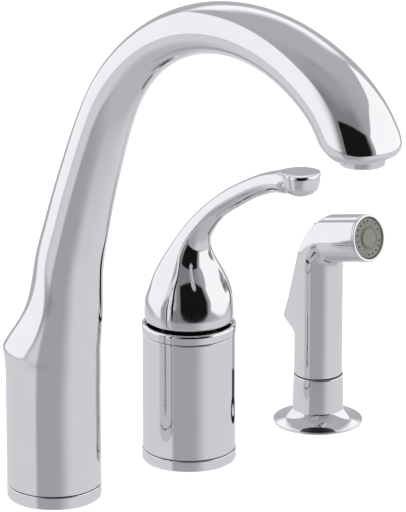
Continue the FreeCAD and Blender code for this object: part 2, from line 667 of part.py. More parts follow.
aerator_base = D.mouth_height - D.aerator_drop
lip_top = aerator_base + D.aerator_lip_thick
thread_top = D.mouth_height + D.aerator_grip
turned("aerator_housing", [
    (D.aerator_lip, aerator_base), (D.aerator_radius - 2 * D.edge, aerator_base),
    (D.aerator_radius, aerator_base + 2 * D.edge), (D.aerator_radius, D.mouth_height),
    (D.aerator_thread, D.mouth_height), (D.aerator_thread, thread_top),
    (D.aerator_bore, thread_top), (D.aerator_bore, lip_top), (D.aerator_lip, lip_top)],
    SPOUT, reach=D.mouth_reach)
screen_radius = D.aerator_bore - D.run_gap
screen_top = lip_top + D.screen_thick
screen = new_body("aerator_screen")
revolve(screen, "Turned", [(0, lip_top), (screen_radius, lip_top), (screen_radius, screen_top),
                           (0, screen_top)])
mesh_spots = []
for row in range(-3, 4):
    for step in range(-5, 6):
        across, along = step + (row % 2) / 2.0, row * math.sqrt(0.75)
        if math.hypot(across, along) < 3.3:
            mesh_spots.append((across * D.screen_pitch, along * D.screen_pitch))
drill(screen, "Mesh", mesh_spots, D.screen_hole, lip_top, screen_top)
place(screen, SPOUT, reach=D.mouth_reach)
insert_middle = screen_top + D.insert_height / 2
insert_top = screen_top + D.insert_height
turned("aerator_insert", [
    (0, insert_middle), (D.aerator_lip - 1, insert_middle), (D.aerator_lip - 1, screen_top),
    (screen_radius, screen_top), (screen_radius, insert_top), (0, insert_top)],
    SPOUT, reach=D.mouth_reach)
ring_of("aerator_seal", D.aerator_lip, D.aerator_thread - D.run_gap, thread_top,
        thread_top + D.end_seal_thick, SPOUT, reach=D.mouth_reach)

turned("spout_inlet_tube", tube_profile(), SPOUT, across=D.diverter_shift)
nipple_foot = shank_foot - D.nipple_length
collar_foot = shank_foot - 4
turned("spray_feed_nipple", [
    (D.nipple_bore, nipple_foot), (D.nipple_thread, nipple_foot), (D.nipple_thread, collar_foot),
    (D.nipple_collar, collar_foot), (D.nipple_collar, shank_foot), (D.nipple_spigot, shank_foot),
    (D.nipple_spigot, nipple_top), (D.nipple_bore, nipple_top)], SPOUT, across=D.feed_shift)

# the identical washers and nuts under spout and valve
group("deck_washers", [
    collar(name, washer_bore, D.washer_radius, -D.deck_thickness, D.washer_thick,
           across=station * D.hole_pitch)
    for name, station in (("SpoutWasher", SPOUT), ("ValveWasher", VALVE))], SPOUT, turn=dim(0))
group("deck_nuts", [
    nut(name, D.nut_flats, nut_bore, nut_top, D.nut_height, across=station * D.hole_pitch)
    for name, station in (("SpoutNut", SPOUT), ("ValveNut", VALVE))], SPOUT, turn=dim(0))

# ---------------------------------------------------------------- valve cluster

valve_flange_top = D.gasket_thick + D.valve_flange_height
land_top = D.valve_ring_height + D.seam
cover_bore = D.cover_radius - D.cover_wall
core_gap = D.valve_core_radius + D.part_gap
turned("valve_base_ring", [
    (D.gasket_radius + D.part_gap, 0), (D.valve_ring_radius, 0),
    (D.valve_ring_radius, D.valve_ring_height - D.edge),
    (D.valve_ring_radius - D.edge, D.valve_ring_height), (D.land_radius, D.valve_ring_height),
    (D.land_radius, land_top), (cover_bore - D.run_gap, land_top),
    (cover_bore - D.run_gap, land_top + 3), (core_gap, land_top + 3),
    (core_gap, valve_flange_top), (D.valve_flange_radius + D.part_gap, valve_flange_top),
    (D.valve_flange_radius + D.part_gap, D.gasket_thick),
    (D.gasket_radius + D.part_gap, D.gasket_thick)], VALVE)
ring_of("valve_deck_gasket", washer_bore, D.gasket_radius, 0, D.gasket_thick, VALVE)
ring_of("valve_cover", cover_bore, D.cover_radius, land_top, D.cover_top, VALVE)

web_top = D.valve_core_top + D.trim_web
neck_gap = D.neck_radius + D.part_gap
turned("valve_trim_ring", [
    (neck_gap, D.valve_core_top), (cover_bore - D.run_gap, D.valve_core_top),
    (cover_bore - D.run_gap, D.cover_top), (D.land_radius, D.cover_top),
    (D.land_radius, D.cover_top + D.seam), (D.trim_radius, D.cover_top + D.seam),
    (D.trim_radius, D.trim_top - D.edge), (D.trim_radius - D.edge, D.trim_top),
    (D.trim_bore, D.trim_top), (D.trim_bore, D.trim_top - 2.5),
    (D.trim_skirt_bore, D.trim_top - 4), (D.trim_skirt_bore, web_top), (neck_gap, web_top)],
    VALVE)

side_ring = D.port_ring * root(0.75)
ports = {"outlet": (dim(0), -D.port_ring), "hot": (-side_ring, D.port_ring / 2),
         "cold": (side_ring, D.port_ring / 2)}
pit_radius = D.cartridge_radius + D.run_gap
core = new_body("valve_body")
revolve(core, "Turned", [
    (0, shank_foot), (D.shank_radius, shank_foot), (D.shank_radius, D.gasket_thick),
    (D.valve_flange_radius, D.gasket_thick), (D.valve_flange_radius, valve_flange_top),
    (D.valve_core_radius, valve_flange_top), (D.valve_core_radius, D.valve_core_top),
    (D.neck_radius, D.valve_core_top), (D.neck_radius, D.neck_top), (pit_radius, D.neck_top),
    (pit_radius, D.cartridge_pit), (0, D.cartridge_pit)])
drill(core, "Passages", list(ports.values()), D.port_radius, shank_foot, D.cartridge_pit)
drill(core, "TubeSockets", list(ports.values()), D.tube_spigot + D.run_gap, shank_foot,
      socket_top)
place(core, VALVE)
for port, (across, along) in ports.items():
    turned(port + "_tube", tube_profile(), VALVE, across=across, reach=-along)

flange_cap = D.neck_top + D.cartridge_flange
thread_ring = D.neck_radius + D.thread_gap
lip_ring = D.cartridge_radius + D.part_gap
turned("bonnet_nut", [
    (thread_ring, web_top), (D.bonnet_flange_radius, web_top),
    (D.bonnet_flange_radius, web_top + D.bonnet_flange),
    (D.bonnet_radius, web_top + D.bonnet_flange), (D.bonnet_radius, D.bonnet_top),
    (lip_ring, D.bonnet_top), (lip_ring, flange_cap), (thread_ring, flange_cap)], VALVE)

cartridge_base = D.cartridge_pit + D.seal_thick
lip_under = D.cartridge_top - D.lip_thick
housing = new_body("cartridge_housing")
revolve(housing, "Turned", [
    (0, cartridge_base), (D.cartridge_radius, cartridge_base), (D.cartridge_radius, D.neck_top),
    (D.cartridge_flange_radius, D.neck_top), (D.cartridge_flange_radius, flange_cap),
    (D.cartridge_radius, flange_cap), (D.cartridge_radius, D.cartridge_top),
    (D.cartridge_lip, D.cartridge_top), (D.cartridge_lip, lip_under),
    (D.cartridge_bore, lip_under), (D.cartridge_bore, D.cartridge_floor),
    (0, D.cartridge_floor)])
drill(housing, "Ports", list(ports.values()), D.port_radius, cartridge_base, D.cartridge_floor)
place(housing, VALVE)
group("cartridge_seals", [
    collar(port.capitalize() + "Seal", D.port_radius + D.part_gap, D.seal_radius, cartridge_base,
           D.seal_thick, across=across, along=along)
    for port, (across, along) in ports.items()], VALVE)

disc_radius = D.cartridge_bore - D.run_gap
disc_top = D.cartridge_floor + D.disc_thick
fixed = new_body("fixed_disc")
revolve(fixed, "Turned", [(0, D.cartridge_floor), (disc_radius, D.cartridge_floor),
                          (disc_radius, disc_top), (0, disc_top)])
drill(fixed, "Ports", list(ports.values()), D.port_radius, D.cartridge_floor, disc_top)
place(fixed, VALVE)

moving_top = disc_top + D.disc_thick
pocket_top = disc_top + D.disc_pocket_deep
turned("moving_disc", [
    (0, pocket_top), (D.disc_pocket, pocket_top), (D.disc_pocket, disc_top),
    (D.moving_disc_radius, disc_top), (D.moving_disc_radius, moving_top), (0, moving_top)],
    VALVE, reach=-D.disc_shift)

ball_height = D.pivot_height - D.ball_drop
coupler_top = moving_top + D.coupler_height
coupler = new_body("disc_coupler")
revolve(coupler, "Turned", [(0, moving_top), (D.coupler_radius, moving_top),
                            (D.coupler_radius, coupler_top), (0, coupler_top)])
drill(coupler, "Socket", [(0, -D.disc_shift)], D.ball_radius + D.run_gap,
      ball_height - D.ball_radius - D.run_gap, coupler_top)
place(coupler, VALVE, reach=-D.disc_shift)

carrier = new_body("cartridge_carrier")
revolve(carrier, "Turned", [(0, D.carrier_base), (disc_radius, D.carrier_base),
                            (disc_radius, lip_under), (0, lip_under)])
prism(carrier, "StemSlot", [
    (-D.slot_half_width, -D.slot_half_length), (D.slot_half_width, -D.slot_half_length),
    (D.slot_half_width, D.slot_half_length), (-D.slot_half_width, D.slot_half_length)],
    D.carrier_base, lip_under, kind="Pocket")
pivot_spot = [(0, D.pivot_height)]
pivot_hole = D.pivot_pin_radius + D.run_gap
drill(carrier, "PinHole", pivot_spot, pivot_hole, -D.cartridge_bore, D.cartridge_bore,
      role="YZ_Plane")
place(carrier, VALVE)

LYING_ACROSS = Spin(Vec(0, 1, 0), 90)
BACKWARD = Spin(Vec(1, 0, 0), -90)
FORWARD = Spin(Vec(1, 0, 0), 90)
ALONG_BARREL = Spin(Vec(1, 0, 0), 90.0 - size("barrel_tilt"))
turned("pivot_pin", [(0, -D.pivot_pin_half), (D.pivot_pin_radius, -D.pivot_pin_half),
                     (D.pivot_pin_radius, D.pivot_pin_half), (0, D.pivot_pin_half)],
       VALVE, height=D.pivot_height, tilt=LYING_ACROSS)

stem = new_body("handle_stem")
neck_rise = root(D.ball_radius * D.ball_radius - D.stem_neck * D.stem_neck)
revolve(stem, "Turned", [
    (0, ball_height - D.ball_radius), (D.ball_radius, ball_height, D.ball_radius),
    (D.stem_neck, ball_height + neck_rise, D.ball_radius), (D.stem_neck, ball_height + 4),
    (D.stem_radius, ball_height + 5.5), (D.stem_radius, D.stem_top), (0, D.stem_top)])
drill(stem, "PinHole", pivot_spot, pivot_hole, -D.stem_radius, D.stem_radius, role="YZ_Plane")
place(stem, VALVE)


def dome_rungs():
    """Dome, neck and arm of the handle up to the pad."""
    radius, low, centre = size("dome_radius"), size("dome_base"), size("pivot_height")
    rungs = []
    for share, inset in ((0.0, 1.5), (0.2, 0.55), (0.45, 0.08), (0.7, 0.0), (1.0, 0.2)):
        height, half = low + (centre - low) * share, radius - inset
        rungs.append(((-half, height), (half, height), half))
    return rungs + [
        ((-24.5, 106.0), (26.2, 106.0), 26.1), ((-21.4, 114.0), (22.4, 114.0), 23.6),
        ((-17.8, 122.0), (17.8, 122.0), 19.8), ((-13.3, 130.0), (14.2, 129.2), 15.6),
        ((-7.8, 138.7), (13.3, 136.3), 12.1), ((-1.0, 147.9), (15.3, 142.8), 9.8),
        ((7.6, 157.4), (20.2, 150.0), 8.2), ((18.6, 167.3), (27.6, 158.2), 7.2),
        ((31.6, 177.0), (38.4, 166.0), 6.9), ((46.8, 186.0), (51.2, 174.2), 6.8),
        ((60.2, 192.6), (62.8, 180.2), 7.0)]


def pad_rungs():
    """The thumb pad: sections that widen to a round end with a flattened top."""
    reach, height = size("pad_reach"), size("pad_height")
    radius, depth, rise = size("pad_radius"), size("pad_depth"), size("pad_tip_rise")
    rungs = []
    for along, width, top, bottom, square in (
            (-1.45, 0.68, -0.22, 1.22, 2.3), (-0.9, 0.87, -0.03, 1.15, 3.0),
            (-0.3, 0.99, 0.0, 1.10, 3.6), (0.25, 0.97, 0.0, 1.06, 3.6),
            (0.62, 0.79, 0.0, 0.98, 3.4), (0.86, 0.52, -0.03, 0.82, 3.0),
            (0.98, 0.21, -0.16, 0.6, 2.2)):
        lift = height + rise * along
        spot = reach + radius * along
        rungs.append(((spot - 0.08 * depth, lift + top * depth),
                      (spot + 0.08 * depth, lift - bottom * depth), radius * width, square))
    return rungs


screw_centre = Vec(0, 0, size("screw_height"))
backward = Vec(0, 1, 0)
plug_start = screw_centre + backward * (size("stem_radius") + size("screw_length") + 2.0)
handle_outer = skin(dome_rungs() + pad_rungs())
handle_cavity = Part.makeSphere(size("dome_cavity"), Vec(0, 0, size("pivot_height")))
far = size("cut_past")
handle_cavity = handle_cavity.cut(Part.makeBox(2.0 * far, 2.0 * far, far,
                                               Vec(-far, -far, size("cavity_top"))))
handle_holes = [
    handle_cavity,
    rod(D.screw_radius + D.run_gap, screw_centre, backward, plug_start.y),
    rod(D.plug_radius + D.run_gap, plug_start, backward, D.dome_radius),
    rod(D.stem_radius + D.run_gap, Vec(0, 0, size("pivot_height")), UP,
        D.stem_top + D.run_gap - D.pivot_height)]
free_form("handle", handle_outer.cut(handle_holes), VALVE)
free_form("handle_plug", handle_outer.common(rod(D.plug_radius, plug_start, backward,
                                                 D.dome_radius)), VALVE)
turned("handle_set_screw", [(0, 0), (D.screw_radius, 0), (D.screw_radius, D.screw_length),
                            (0, D.screw_length)], VALVE, reach=-D.stem_radius - D.run_gap,
       height=D.screw_height, tilt=BACKWARD)

# ---------------------------------------------------------------- spray holder

gasket_lip = D.holder_gasket_radius + D.part_gap
turned("spray_holder", [
    (gasket_lip, 0), (D.holder_radius, 0), (D.holder_radius, D.holder_rim),
    (D.cup_foot_radius, D.cup_foot, -D.holder_sweep), (D.cup_radius, D.cup_top),
    (D.cup_bore, D.cup_top), (D.cup_bore, D.cup_seat), (D.holder_bore, D.cup_seat),
    (D.holder_bore, -D.holder_shank_length), (D.holder_shank, -D.holder_shank_length),
    (D.holder_shank, D.holder_gasket_thick), (gasket_lip, D.holder_gasket_thick)], SPRAY)
ring_of("holder_gasket", D.holder_shank + D.part_gap, D.holder_gasket_radius, 0,
        D.holder_gasket_thick, SPRAY)
liner_outer = D.cup_bore - D.run_gap
liner_bore = liner_outer - D.liner_wall
rim_radius = D.cup_radius - D.edge
rim_top = D.cup_top + D.liner_rim
turned("holder_liner", [
    (liner_bore, D.cup_seat), (liner_outer, D.cup_seat), (liner_outer, D.cup_top),
    (rim_radius, D.cup_top), (rim_radius, rim_top), (liner_bore, rim_top)], SPRAY)
place(collar("holder_washer", D.holder_shank + D.part_gap, D.holder_gasket_radius,
             -D.deck_thickness, D.washer_thick), SPRAY)
place(nut("holder_nut", D.holder_nut_flats, D.holder_shank + D.thread_gap, nut_top,
          D.holder_nut_height), SPRAY)

# ---------------------------------------------------------------- hand spray

slope = (D.bend_reach - D.nose_reach) / (D.bend_height - D.nose_height)
stretch = root(slope * slope + 1)


def on_lever(height, inset):
    """Corner (Y, Z) on a line behind the lever's outer face and parallel to it."""
    reach = D.nose_reach + (dim(height) - D.nose_height) * slope + stretch * inset
    return (-reach, dim(height))


# sketch offsets whose upright axis is the barrel's, the valve's or the elbow's own axis
barrel_frame = FreeCAD.Placement(Vec(0, size("barrel_height"), 0),
                                 Spin(UP, 90.0 - size("barrel_tilt")))
valve_frame = FreeCAD.Placement(Vec(0, size("plunger_height"), 0), Spin(UP, 90.0))
elbow_frame = FreeCAD.Placement(Vec(-size("upper_bore_reach"), size("elbow_base"), 0),
                                Spin(UP, 45.0))

handset = new_body("spray_body")
clip_top = D.clip_height + D.clip_thick
nose_back = -D.nose_reach
prism(handset, "Web", [
    (-D.web_front_half, D.web_front), (D.web_front_half, D.web_front),
    (D.web_back_half, nose_back), (-D.web_back_half, nose_back)], D.web_base, D.grip_top)
web_foot = D.nose_height - D.web_drop
prism(handset, "WebFoot", [
    (-1, D.web_base - 1), (0, D.web_base), (D.web_front, D.web_base + 2),
    (D.grip_radius - 5, D.web_base + 6.5), (D.grip_radius, D.web_base + 13),
    (D.grip_radius + 3, D.web_base + 19), (nose_back + 1, web_foot), (D.cut_past, web_foot),
    (D.cut_past, D.web_base - 1)],
    -D.grip_radius, D.grip_radius, kind="Pocket", role="YZ_Plane")
revolve(handset, "Grip", [
    (0, D.spigot_base), (D.spigot_radius, D.spigot_base)]
    + notch(D.spigot_radius, D.clip_groove, D.clip_height - D.run_gap, clip_top + D.run_gap)
    + [(D.spigot_radius, D.plug_base), (D.plug_stem, D.plug_base), (D.plug_stem, rim_top),
       (D.grip_radius - D.edge, rim_top), (D.grip_radius, rim_top + D.edge),
       (D.grip_radius, D.grip_shoulder), (D.grip_top_radius, D.grip_top), (0, D.grip_top)])
revolve(handset, "Barrel", [(0, -D.barrel_back), (D.barrel_radius, -D.barrel_back),
                            (D.barrel_radius, D.barrel_end), (0, D.barrel_end)],
        offset=barrel_frame, role="YZ_Plane")
back_inset = D.lever_depth + D.part_gap
back_low, back_high = D.nose_height - D.cut_past, D.lever_end_height + D.cut_past
prism(handset, "BackCut", [on_lever(back_low, D.web_inset), (D.cut_past, back_low),
                           (D.cut_past, back_high), on_lever(back_high, D.web_inset)],
      -D.cut_past, D.cut_past, kind="Pocket", role="YZ_Plane")
channel_half = D.lever_half_width + D.part_gap
prism(handset, "LeverChannel", [
    (-D.channel_low_reach, D.channel_base), (D.cut_past, D.channel_base),
    (D.cut_past, D.channel_end), on_lever(D.channel_end, back_inset),
    (-D.channel_top_reach, D.channel_top_height), (-D.channel_knee_reach, D.channel_knee_height)],
    -channel_half, channel_half, kind="Pocket", role="YZ_Plane")
pin_spot = [(-D.lever_pin_reach, D.lever_pin_height)]
drill(handset, "EarRoom", pin_spot, D.ear_radius + D.part_gap, -channel_half, channel_half,
      role="YZ_Plane")
drill(handset, "PinHole", pin_spot, D.lever_pin_radius + D.run_gap,
      -D.lever_pin_half, D.lever_pin_half, role="YZ_Plane")
drill(handset, "LowerBore", [(0, 0)], D.lower_bore, D.spigot_base, D.lower_bore_top)
drill(handset, "UpperBore", [(0, -D.upper_bore_reach)], D.lower_bore, D.upper_bore_base,
      D.upper_bore_top)
revolve(handset, "ValveChamber", [
    (0, D.plunger_seat), (D.valve_chamber, D.plunger_seat), (D.valve_chamber, D.chamber_front),
    (0, D.chamber_front)], kind="Groove", offset=valve_frame, role="YZ_Plane")
guide_bore = D.guide_radius + D.run_gap
revolve(handset, "GuideBore", [
    (0, D.plunger_tip), (guide_bore, D.plunger_tip), (guide_bore, D.plunger_seat + 1),
    (0, D.plunger_seat + 1)], kind="Groove", offset=valve_frame, role="YZ_Plane")
revolve(handset, "Elbow", [(0, 0), (D.lower_bore, 0), (D.lower_bore, D.elbow_length),
                           (0, D.elbow_length)],
        kind="Groove", offset=elbow_frame, role="YZ_Plane")
mouth_end = D.barrel_end + 1
revolve(handset, "BarrelBore", [
    (0, D.barrel_bore_back), (D.barrel_bore, D.barrel_bore_back),
    (D.barrel_bore, D.face_chamber_back), (D.face_chamber, D.face_chamber_back),
    (D.face_chamber, D.face_seat), (D.bezel_bore, D.face_seat), (D.bezel_bore, mouth_end),
    (0, mouth_end)], kind="Groove", offset=barrel_frame, role="YZ_Plane")
place(handset, SPRAY)

turned("spray_bezel", [
    (D.bezel_bore, D.barrel_end), (D.barrel_radius, D.barrel_end),
    (D.barrel_radius, D.bezel_end - D.edge), (D.barrel_radius - D.edge, D.bezel_end),
    (D.bezel_bore, D.bezel_end)], SPRAY, height=D.barrel_height, tilt=ALONG_BARREL)
face_radius = D.bezel_bore - D.run_gap
face = new_body("spray_face")
revolve(face, "Turned", [(0, D.face_seat), (face_radius, D.face_seat),
                         (face_radius, D.face_front), (0, D.face_front)])
jets = []
for step in range(int(size("jet_count"))):
    turn = 360.0 * step / size("jet_count")
    jets.append((D.jet_ring * cosine(turn), D.jet_ring * sine(turn)))
drill(face, "Jets", jets, D.jet_radius, D.face_seat, D.face_front)
place(face, SPRAY, height=D.barrel_height, tilt=ALONG_BARREL)
button_top = D.face_front + D.button_proud
turned("spray_button", [
    (0, D.face_front), (D.face_button, D.face_front), (D.face_button, button_top - 2 * D.edge),
    (D.face_button - 2 * D.edge, button_top), (0, button_top)],
    SPRAY, height=D.barrel_height, tilt=ALONG_BARREL)

pin_inset = (D.lever_pin_reach - D.nose_reach
             - (D.lever_pin_height - D.nose_height) * slope) / stretch
ear_depth = pin_inset - D.lever_depth
ear_foot = (D.lever_pin_reach - ear_depth / stretch,
            D.lever_pin_height + ear_depth * slope / stretch)
ear_chord = root(D.ear_radius * D.ear_radius - ear_depth * ear_depth) / stretch
lever = new_body("spray_lever")
prism(lever, "Blade", [
    (-D.nose_reach, D.nose_height), on_lever(D.bend_height, 0),
    (-D.lever_end_reach, D.lever_end_height, D.bend_round),
    on_lever(D.lever_end_height + 0.25, D.lever_depth),
    (-(ear_foot[0] + ear_chord * slope), ear_foot[1] + ear_chord),
    (-(D.lever_pin_reach + D.ear_radius / stretch),
     D.lever_pin_height - D.ear_radius * slope / stretch, D.ear_radius),
    (-(ear_foot[0] - ear_chord * slope), ear_foot[1] - ear_chord, D.ear_radius),
    on_lever(D.channel_knee_height, D.lever_depth), (-D.lever_skirt_reach, D.lever_skirt_base)],
    -D.lever_half_width, D.lever_half_width, role="YZ_Plane")
hollow_half = D.lever_half_width - D.lever_side
prism(lever, "Hollow", [
    on_lever(D.nose_height + 2, D.lever_plate), on_lever(D.lever_hollow_top, D.lever_plate),
    (-20, D.lever_hollow_top), (-20, D.lever_hollow_base),
    (-D.lever_skirt_reach, D.lever_hollow_base)],
    -hollow_half, hollow_half, kind="Pocket", role="YZ_Plane")
drill(lever, "PinHole", pin_spot, D.lever_pin_radius + D.run_gap, -D.lever_half_width,
      D.lever_half_width, role="YZ_Plane")
crown_back = -D.barrel_back - 4.5
crown_front = D.barrel_back + 4
revolve(lever, "Crown", [(D.barrel_radius, crown_back), (D.cut_past, crown_back),
                         (D.cut_past, crown_front), (D.barrel_radius, crown_front)],
        kind="Groove", offset=barrel_frame, role="YZ_Plane")
place(lever, SPRAY)
turned("lever_pin", [(0, -D.lever_pin_half), (D.lever_pin_radius, -D.lever_pin_half),
                     (D.lever_pin_radius, D.lever_pin_half), (0, D.lever_pin_half)],
       SPRAY, reach=D.lever_pin_reach, height=D.lever_pin_height, tilt=LYING_ACROSS)

rod_gap = D.plunger_radius + D.run_gap
seal_front = D.plunger_seat + D.plunger_seal
head_front = seal_front + D.plunger_head_thick
ring_of("plunger_guide", rod_gap, D.guide_radius, D.guide_back, D.plunger_seat, SPRAY,
        height=D.plunger_height, tilt=FORWARD)
turned("valve_plunger", [
    (0, D.plunger_tip), (D.plunger_radius, D.plunger_tip + D.plunger_radius, D.plunger_radius),
    (D.plunger_radius, seal_front), (D.plunger_head, seal_front), (D.plunger_head, head_front),
    (0, head_front)], SPRAY, height=D.plunger_height, tilt=FORWARD)
ring_of("plunger_seal", rod_gap, D.plunger_head, D.plunger_seat, seal_front, SPRAY,
        height=D.plunger_height, tilt=FORWARD)


def coil_spring(radius, wire, length, turns):
    """A coil whose wire stays within its length."""
    pitch = (length - 2.0 * wire) / turns
    helix = Part.makeHelix(pitch, pitch * turns, radius)
    helix.translate(Vec(0, 0, wire))
    edge = helix.Edges[0]
    start, lead = edge.valueAt(edge.FirstParameter), edge.tangentAt(edge.FirstParameter)
    profile = Part.Wire([Part.makeCircle(wire, start, lead)])
    return Part.Wire(helix.Edges).makePipeShell([profile], True, True)


free_form("plunger_spring", coil_spring(size("spring_radius"), size("spring_wire"),
                                        size("spring_length"), size("spring_turns")),
          SPRAY, reach=head_front, height=D.plunger_height, tilt=FORWARD)

spigot_gap = D.spigot_radius + D.run_gap
clip_room = D.clip_radius + D.part_gap
hose_foot = D.coupling_base - D.hose_thread_length
turned("hose_coupling", [
    (D.hose_bore, hose_foot), (D.hose_thread, hose_foot), (D.hose_thread, D.coupling_base),
    (D.coupling_radius, D.coupling_base), (D.coupling_radius, D.coupling_top),
    (spigot_gap, D.coupling_top), (spigot_gap, clip_top), (clip_room, clip_top),
    (clip_room, D.clip_height), (spigot_gap, D.clip_height), (spigot_gap, 0),
    (D.hose_bore, 0)], SPRAY)
clip_bore = D.clip_groove + D.run_gap
half_clip = D.clip_mouth / 2
clip = new_body("coupling_clip")
revolve(clip, "Turned", [(clip_bore, D.clip_height), (D.clip_radius, D.clip_height),
                         (D.clip_radius, clip_top), (clip_bore, clip_top)])
prism(clip, "Mouth", [(-half_clip, D.clip_groove - 2), (half_clip, D.clip_groove - 2),
                      (half_clip, D.clip_radius + 1), (-half_clip, D.clip_radius + 1)],
      D.clip_height, clip_top, kind="Pocket")
place(clip, SPRAY)

# ---------------------------------------------------------------- check and write

DOC.recompute()
for item in DOC.Objects:
    if {"Invalid", "Error"} & set(item.State):
        raise RuntimeError("%s didn't build: %s" % (item.Label, item.State))
os.makedirs("parts", exist_ok=True)
for part in PARTS:
    if part.Shape.isNull() or not part.Shape.isValid() or not part.Shape.Solids:
        raise RuntimeError("%s has no valid solid" % part.Label)
    part.Shape.exportStep("parts/%s.step" % part.Label)
    box = part.Shape.BoundBox
    print("%-22s solids %d  x %.1f %.1f  y %.1f %.1f  z %.1f %.1f" % (
        part.Label, len(part.Shape.Solids), box.XMin, box.XMax, box.YMin, box.YMax,
        box.ZMin, box.ZMax))
print("pieces", len(PARTS))
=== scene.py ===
import itertools
import json
import math

import bmesh
import bpy
import numpy as np
from bpy.props import FloatProperty, FloatVectorProperty, IntProperty, PointerProperty
from mathutils import Matrix, Vector


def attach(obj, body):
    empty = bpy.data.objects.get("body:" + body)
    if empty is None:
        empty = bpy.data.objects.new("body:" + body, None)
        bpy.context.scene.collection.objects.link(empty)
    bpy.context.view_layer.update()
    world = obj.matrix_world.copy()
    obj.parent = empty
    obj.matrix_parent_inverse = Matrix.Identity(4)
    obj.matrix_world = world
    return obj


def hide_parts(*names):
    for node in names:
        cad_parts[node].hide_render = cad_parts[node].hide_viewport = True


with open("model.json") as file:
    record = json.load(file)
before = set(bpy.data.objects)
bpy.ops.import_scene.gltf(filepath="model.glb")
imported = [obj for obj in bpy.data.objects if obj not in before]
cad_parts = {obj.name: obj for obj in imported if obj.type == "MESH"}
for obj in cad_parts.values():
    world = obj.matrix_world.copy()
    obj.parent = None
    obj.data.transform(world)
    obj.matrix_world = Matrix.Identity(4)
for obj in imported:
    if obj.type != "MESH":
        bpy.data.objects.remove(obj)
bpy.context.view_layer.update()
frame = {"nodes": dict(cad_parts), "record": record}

bl_info = {
    "name": "Side spray kitchen faucet",
    "version": (1, 0, 0),
    "blender": (4, 5, 0),
    "location": "View3D > Sidebar > Faucet",
    "description": "Dresses the three piece faucet: gooseneck spout, lever valve and hand spray",
    "category": "Object",
}

MM = 0.001
SPOUT, VALVE, SPRAY = 0, 1, 2
RING_POINTS = 96
LATHE_POINTS = 128
SMOOTH_ANGLE = math.radians(32)
NUT_ANGLE = math.radians(14)
THREAD_ANGLE = math.radians(60)
ON_AXIS = 1e-7
STRAIGHT = math.radians(172)
SENSOR = 36.0
DECK_HALF = 6.0


# ---------------------------------------------------------------- sizes and colours


def length(title, words, default):
    return FloatProperty(name=title, description=words, default=default, unit="LENGTH",
                         precision=5)


def degrees(title, words, default):
    return FloatProperty(name=title, description=words, default=math.radians(default),
                         subtype="ANGLE")


def colour(title, words, default):
    return FloatVectorProperty(name=title, description=words, default=default, subtype="COLOR",
                               size=3, min=0.0, max=1.0)


class FaucetRow(bpy.types.PropertyGroup):
    hole_pitch: length("Hole pitch", "Distance between deck holes", 0.1016)
    facing_turn: degrees("Facing turn", "How far the set is turned to its right", 9.3)
    edge: length("Edge", "Rounding of crisp edges", 0.0003)
    clearance: length("Clearance", "Room between fitted pieces", 0.00005)


class SpoutSizes(bpy.types.PropertyGroup):
    base_radius: length("Base radius", "Radius of the spout's foot", 0.028)
    ring_height: length("Ring height", "Height of the fixed base ring", 0.0077)
    seam: length("Seam", "Gap above the base ring", 0.0004)
    shell_bore: length("Shell bore", "Radius of the bearing bore", 0.019)
    shell_bore_top: length("Shell bore top", "Where the bearing bore ends", 0.066)
    body_top: length("Body top", "Where the round body starts to flare", 0.064)
    heel_height: length("Heel height", "Height of the heel's ridge", 0.0925)
    heel_reach: length("Heel reach", "How far the heel stands out behind", 0.031)
    heel_front: length("Heel front", "Front of the section at the heel", 0.029)
    heel_width: length("Heel half width", "Half width at the heel", 0.0277)
    arch_radius: length("Arch radius", "Centre line radius of the arch", 0.112)
    arch_reach: length("Arch reach", "Reach of the arch's centre", 0.1486)
    arch_height: length("Arch height", "Height of the arch's centre", 0.200)
    leg_radius: length("Leg radius", "Centre line radius of the leg", 0.700)
    leg_angle: FloatProperty(name="Leg angle", description="Lean at the leg's top", default=68.0)
    leg_foot_angle: FloatProperty(name="Leg foot angle", description="Lean at the leg's foot",
                                  default=76.0)
    nose_radius: length("Nose radius", "Centre line radius of the nose", 0.062)
    nose_angle: FloatProperty(name="Nose angle", description="Lean where the nose starts",
                              default=-38.0)
    nose_end_angle: FloatProperty(name="Nose end angle", description="Lean at the nose's end",
                                  default=-58.0)
    thin_angle: FloatProperty(name="Thin angle", description="Lean at the thinnest section",
                              default=38.0)
    thin_depth: length("Thin half depth", "Half depth of the thinnest section", 0.0136)
    thin_width: length("Thin half width", "Half width of the thinnest section", 0.0166)
    leg_depth: length("Leg half depth", "Half depth at the leg's foot", 0.0186)
    leg_width: length("Leg half width", "Half width at the leg's foot", 0.022)
    nose_depth: length("Nose half depth", "Half depth at the nose's end", 0.0186)
    nose_width: length("Nose half width", "Half width at the nose's end", 0.0246)
    mouth_height: length("Mouth height", "Height of the flat round the aerator", 0.2583)
    mouth_reach: length("Mouth reach", "Reach of the aerator", 0.237)
    mouth_depth: length("Mouth half depth", "Half depth of the flat", 0.0145)
    mouth_width: length("Mouth half width", "Half width of the flat", 0.019)
    mouth_roll: length("Mouth roll", "Size of the rounded lower rim", 0.0083)
    mouth_bore: length("Mouth bore", "Radius of the aerator's socket", 0.01165)
    aerator_radius: length("Aerator radius", "Radius of the aerator's housing", 0.0126)
    aerator_drop: length("Aerator drop", "How far the aerator hangs below the flat", 0.0046)
    aerator_lip: length("Aerator lip", "Radius of the aerator's opening", 0.0092)
    aerator_bore: length("Aerator bore", "Bore of the aerator's housing", 0.010)
    mesh_hole: length("Mesh hole", "Radius of the holes in the aerator's screen", 0.00055)
    mesh_pitch: length("Mesh pitch", "Distance between the screen's holes", 0.0019)


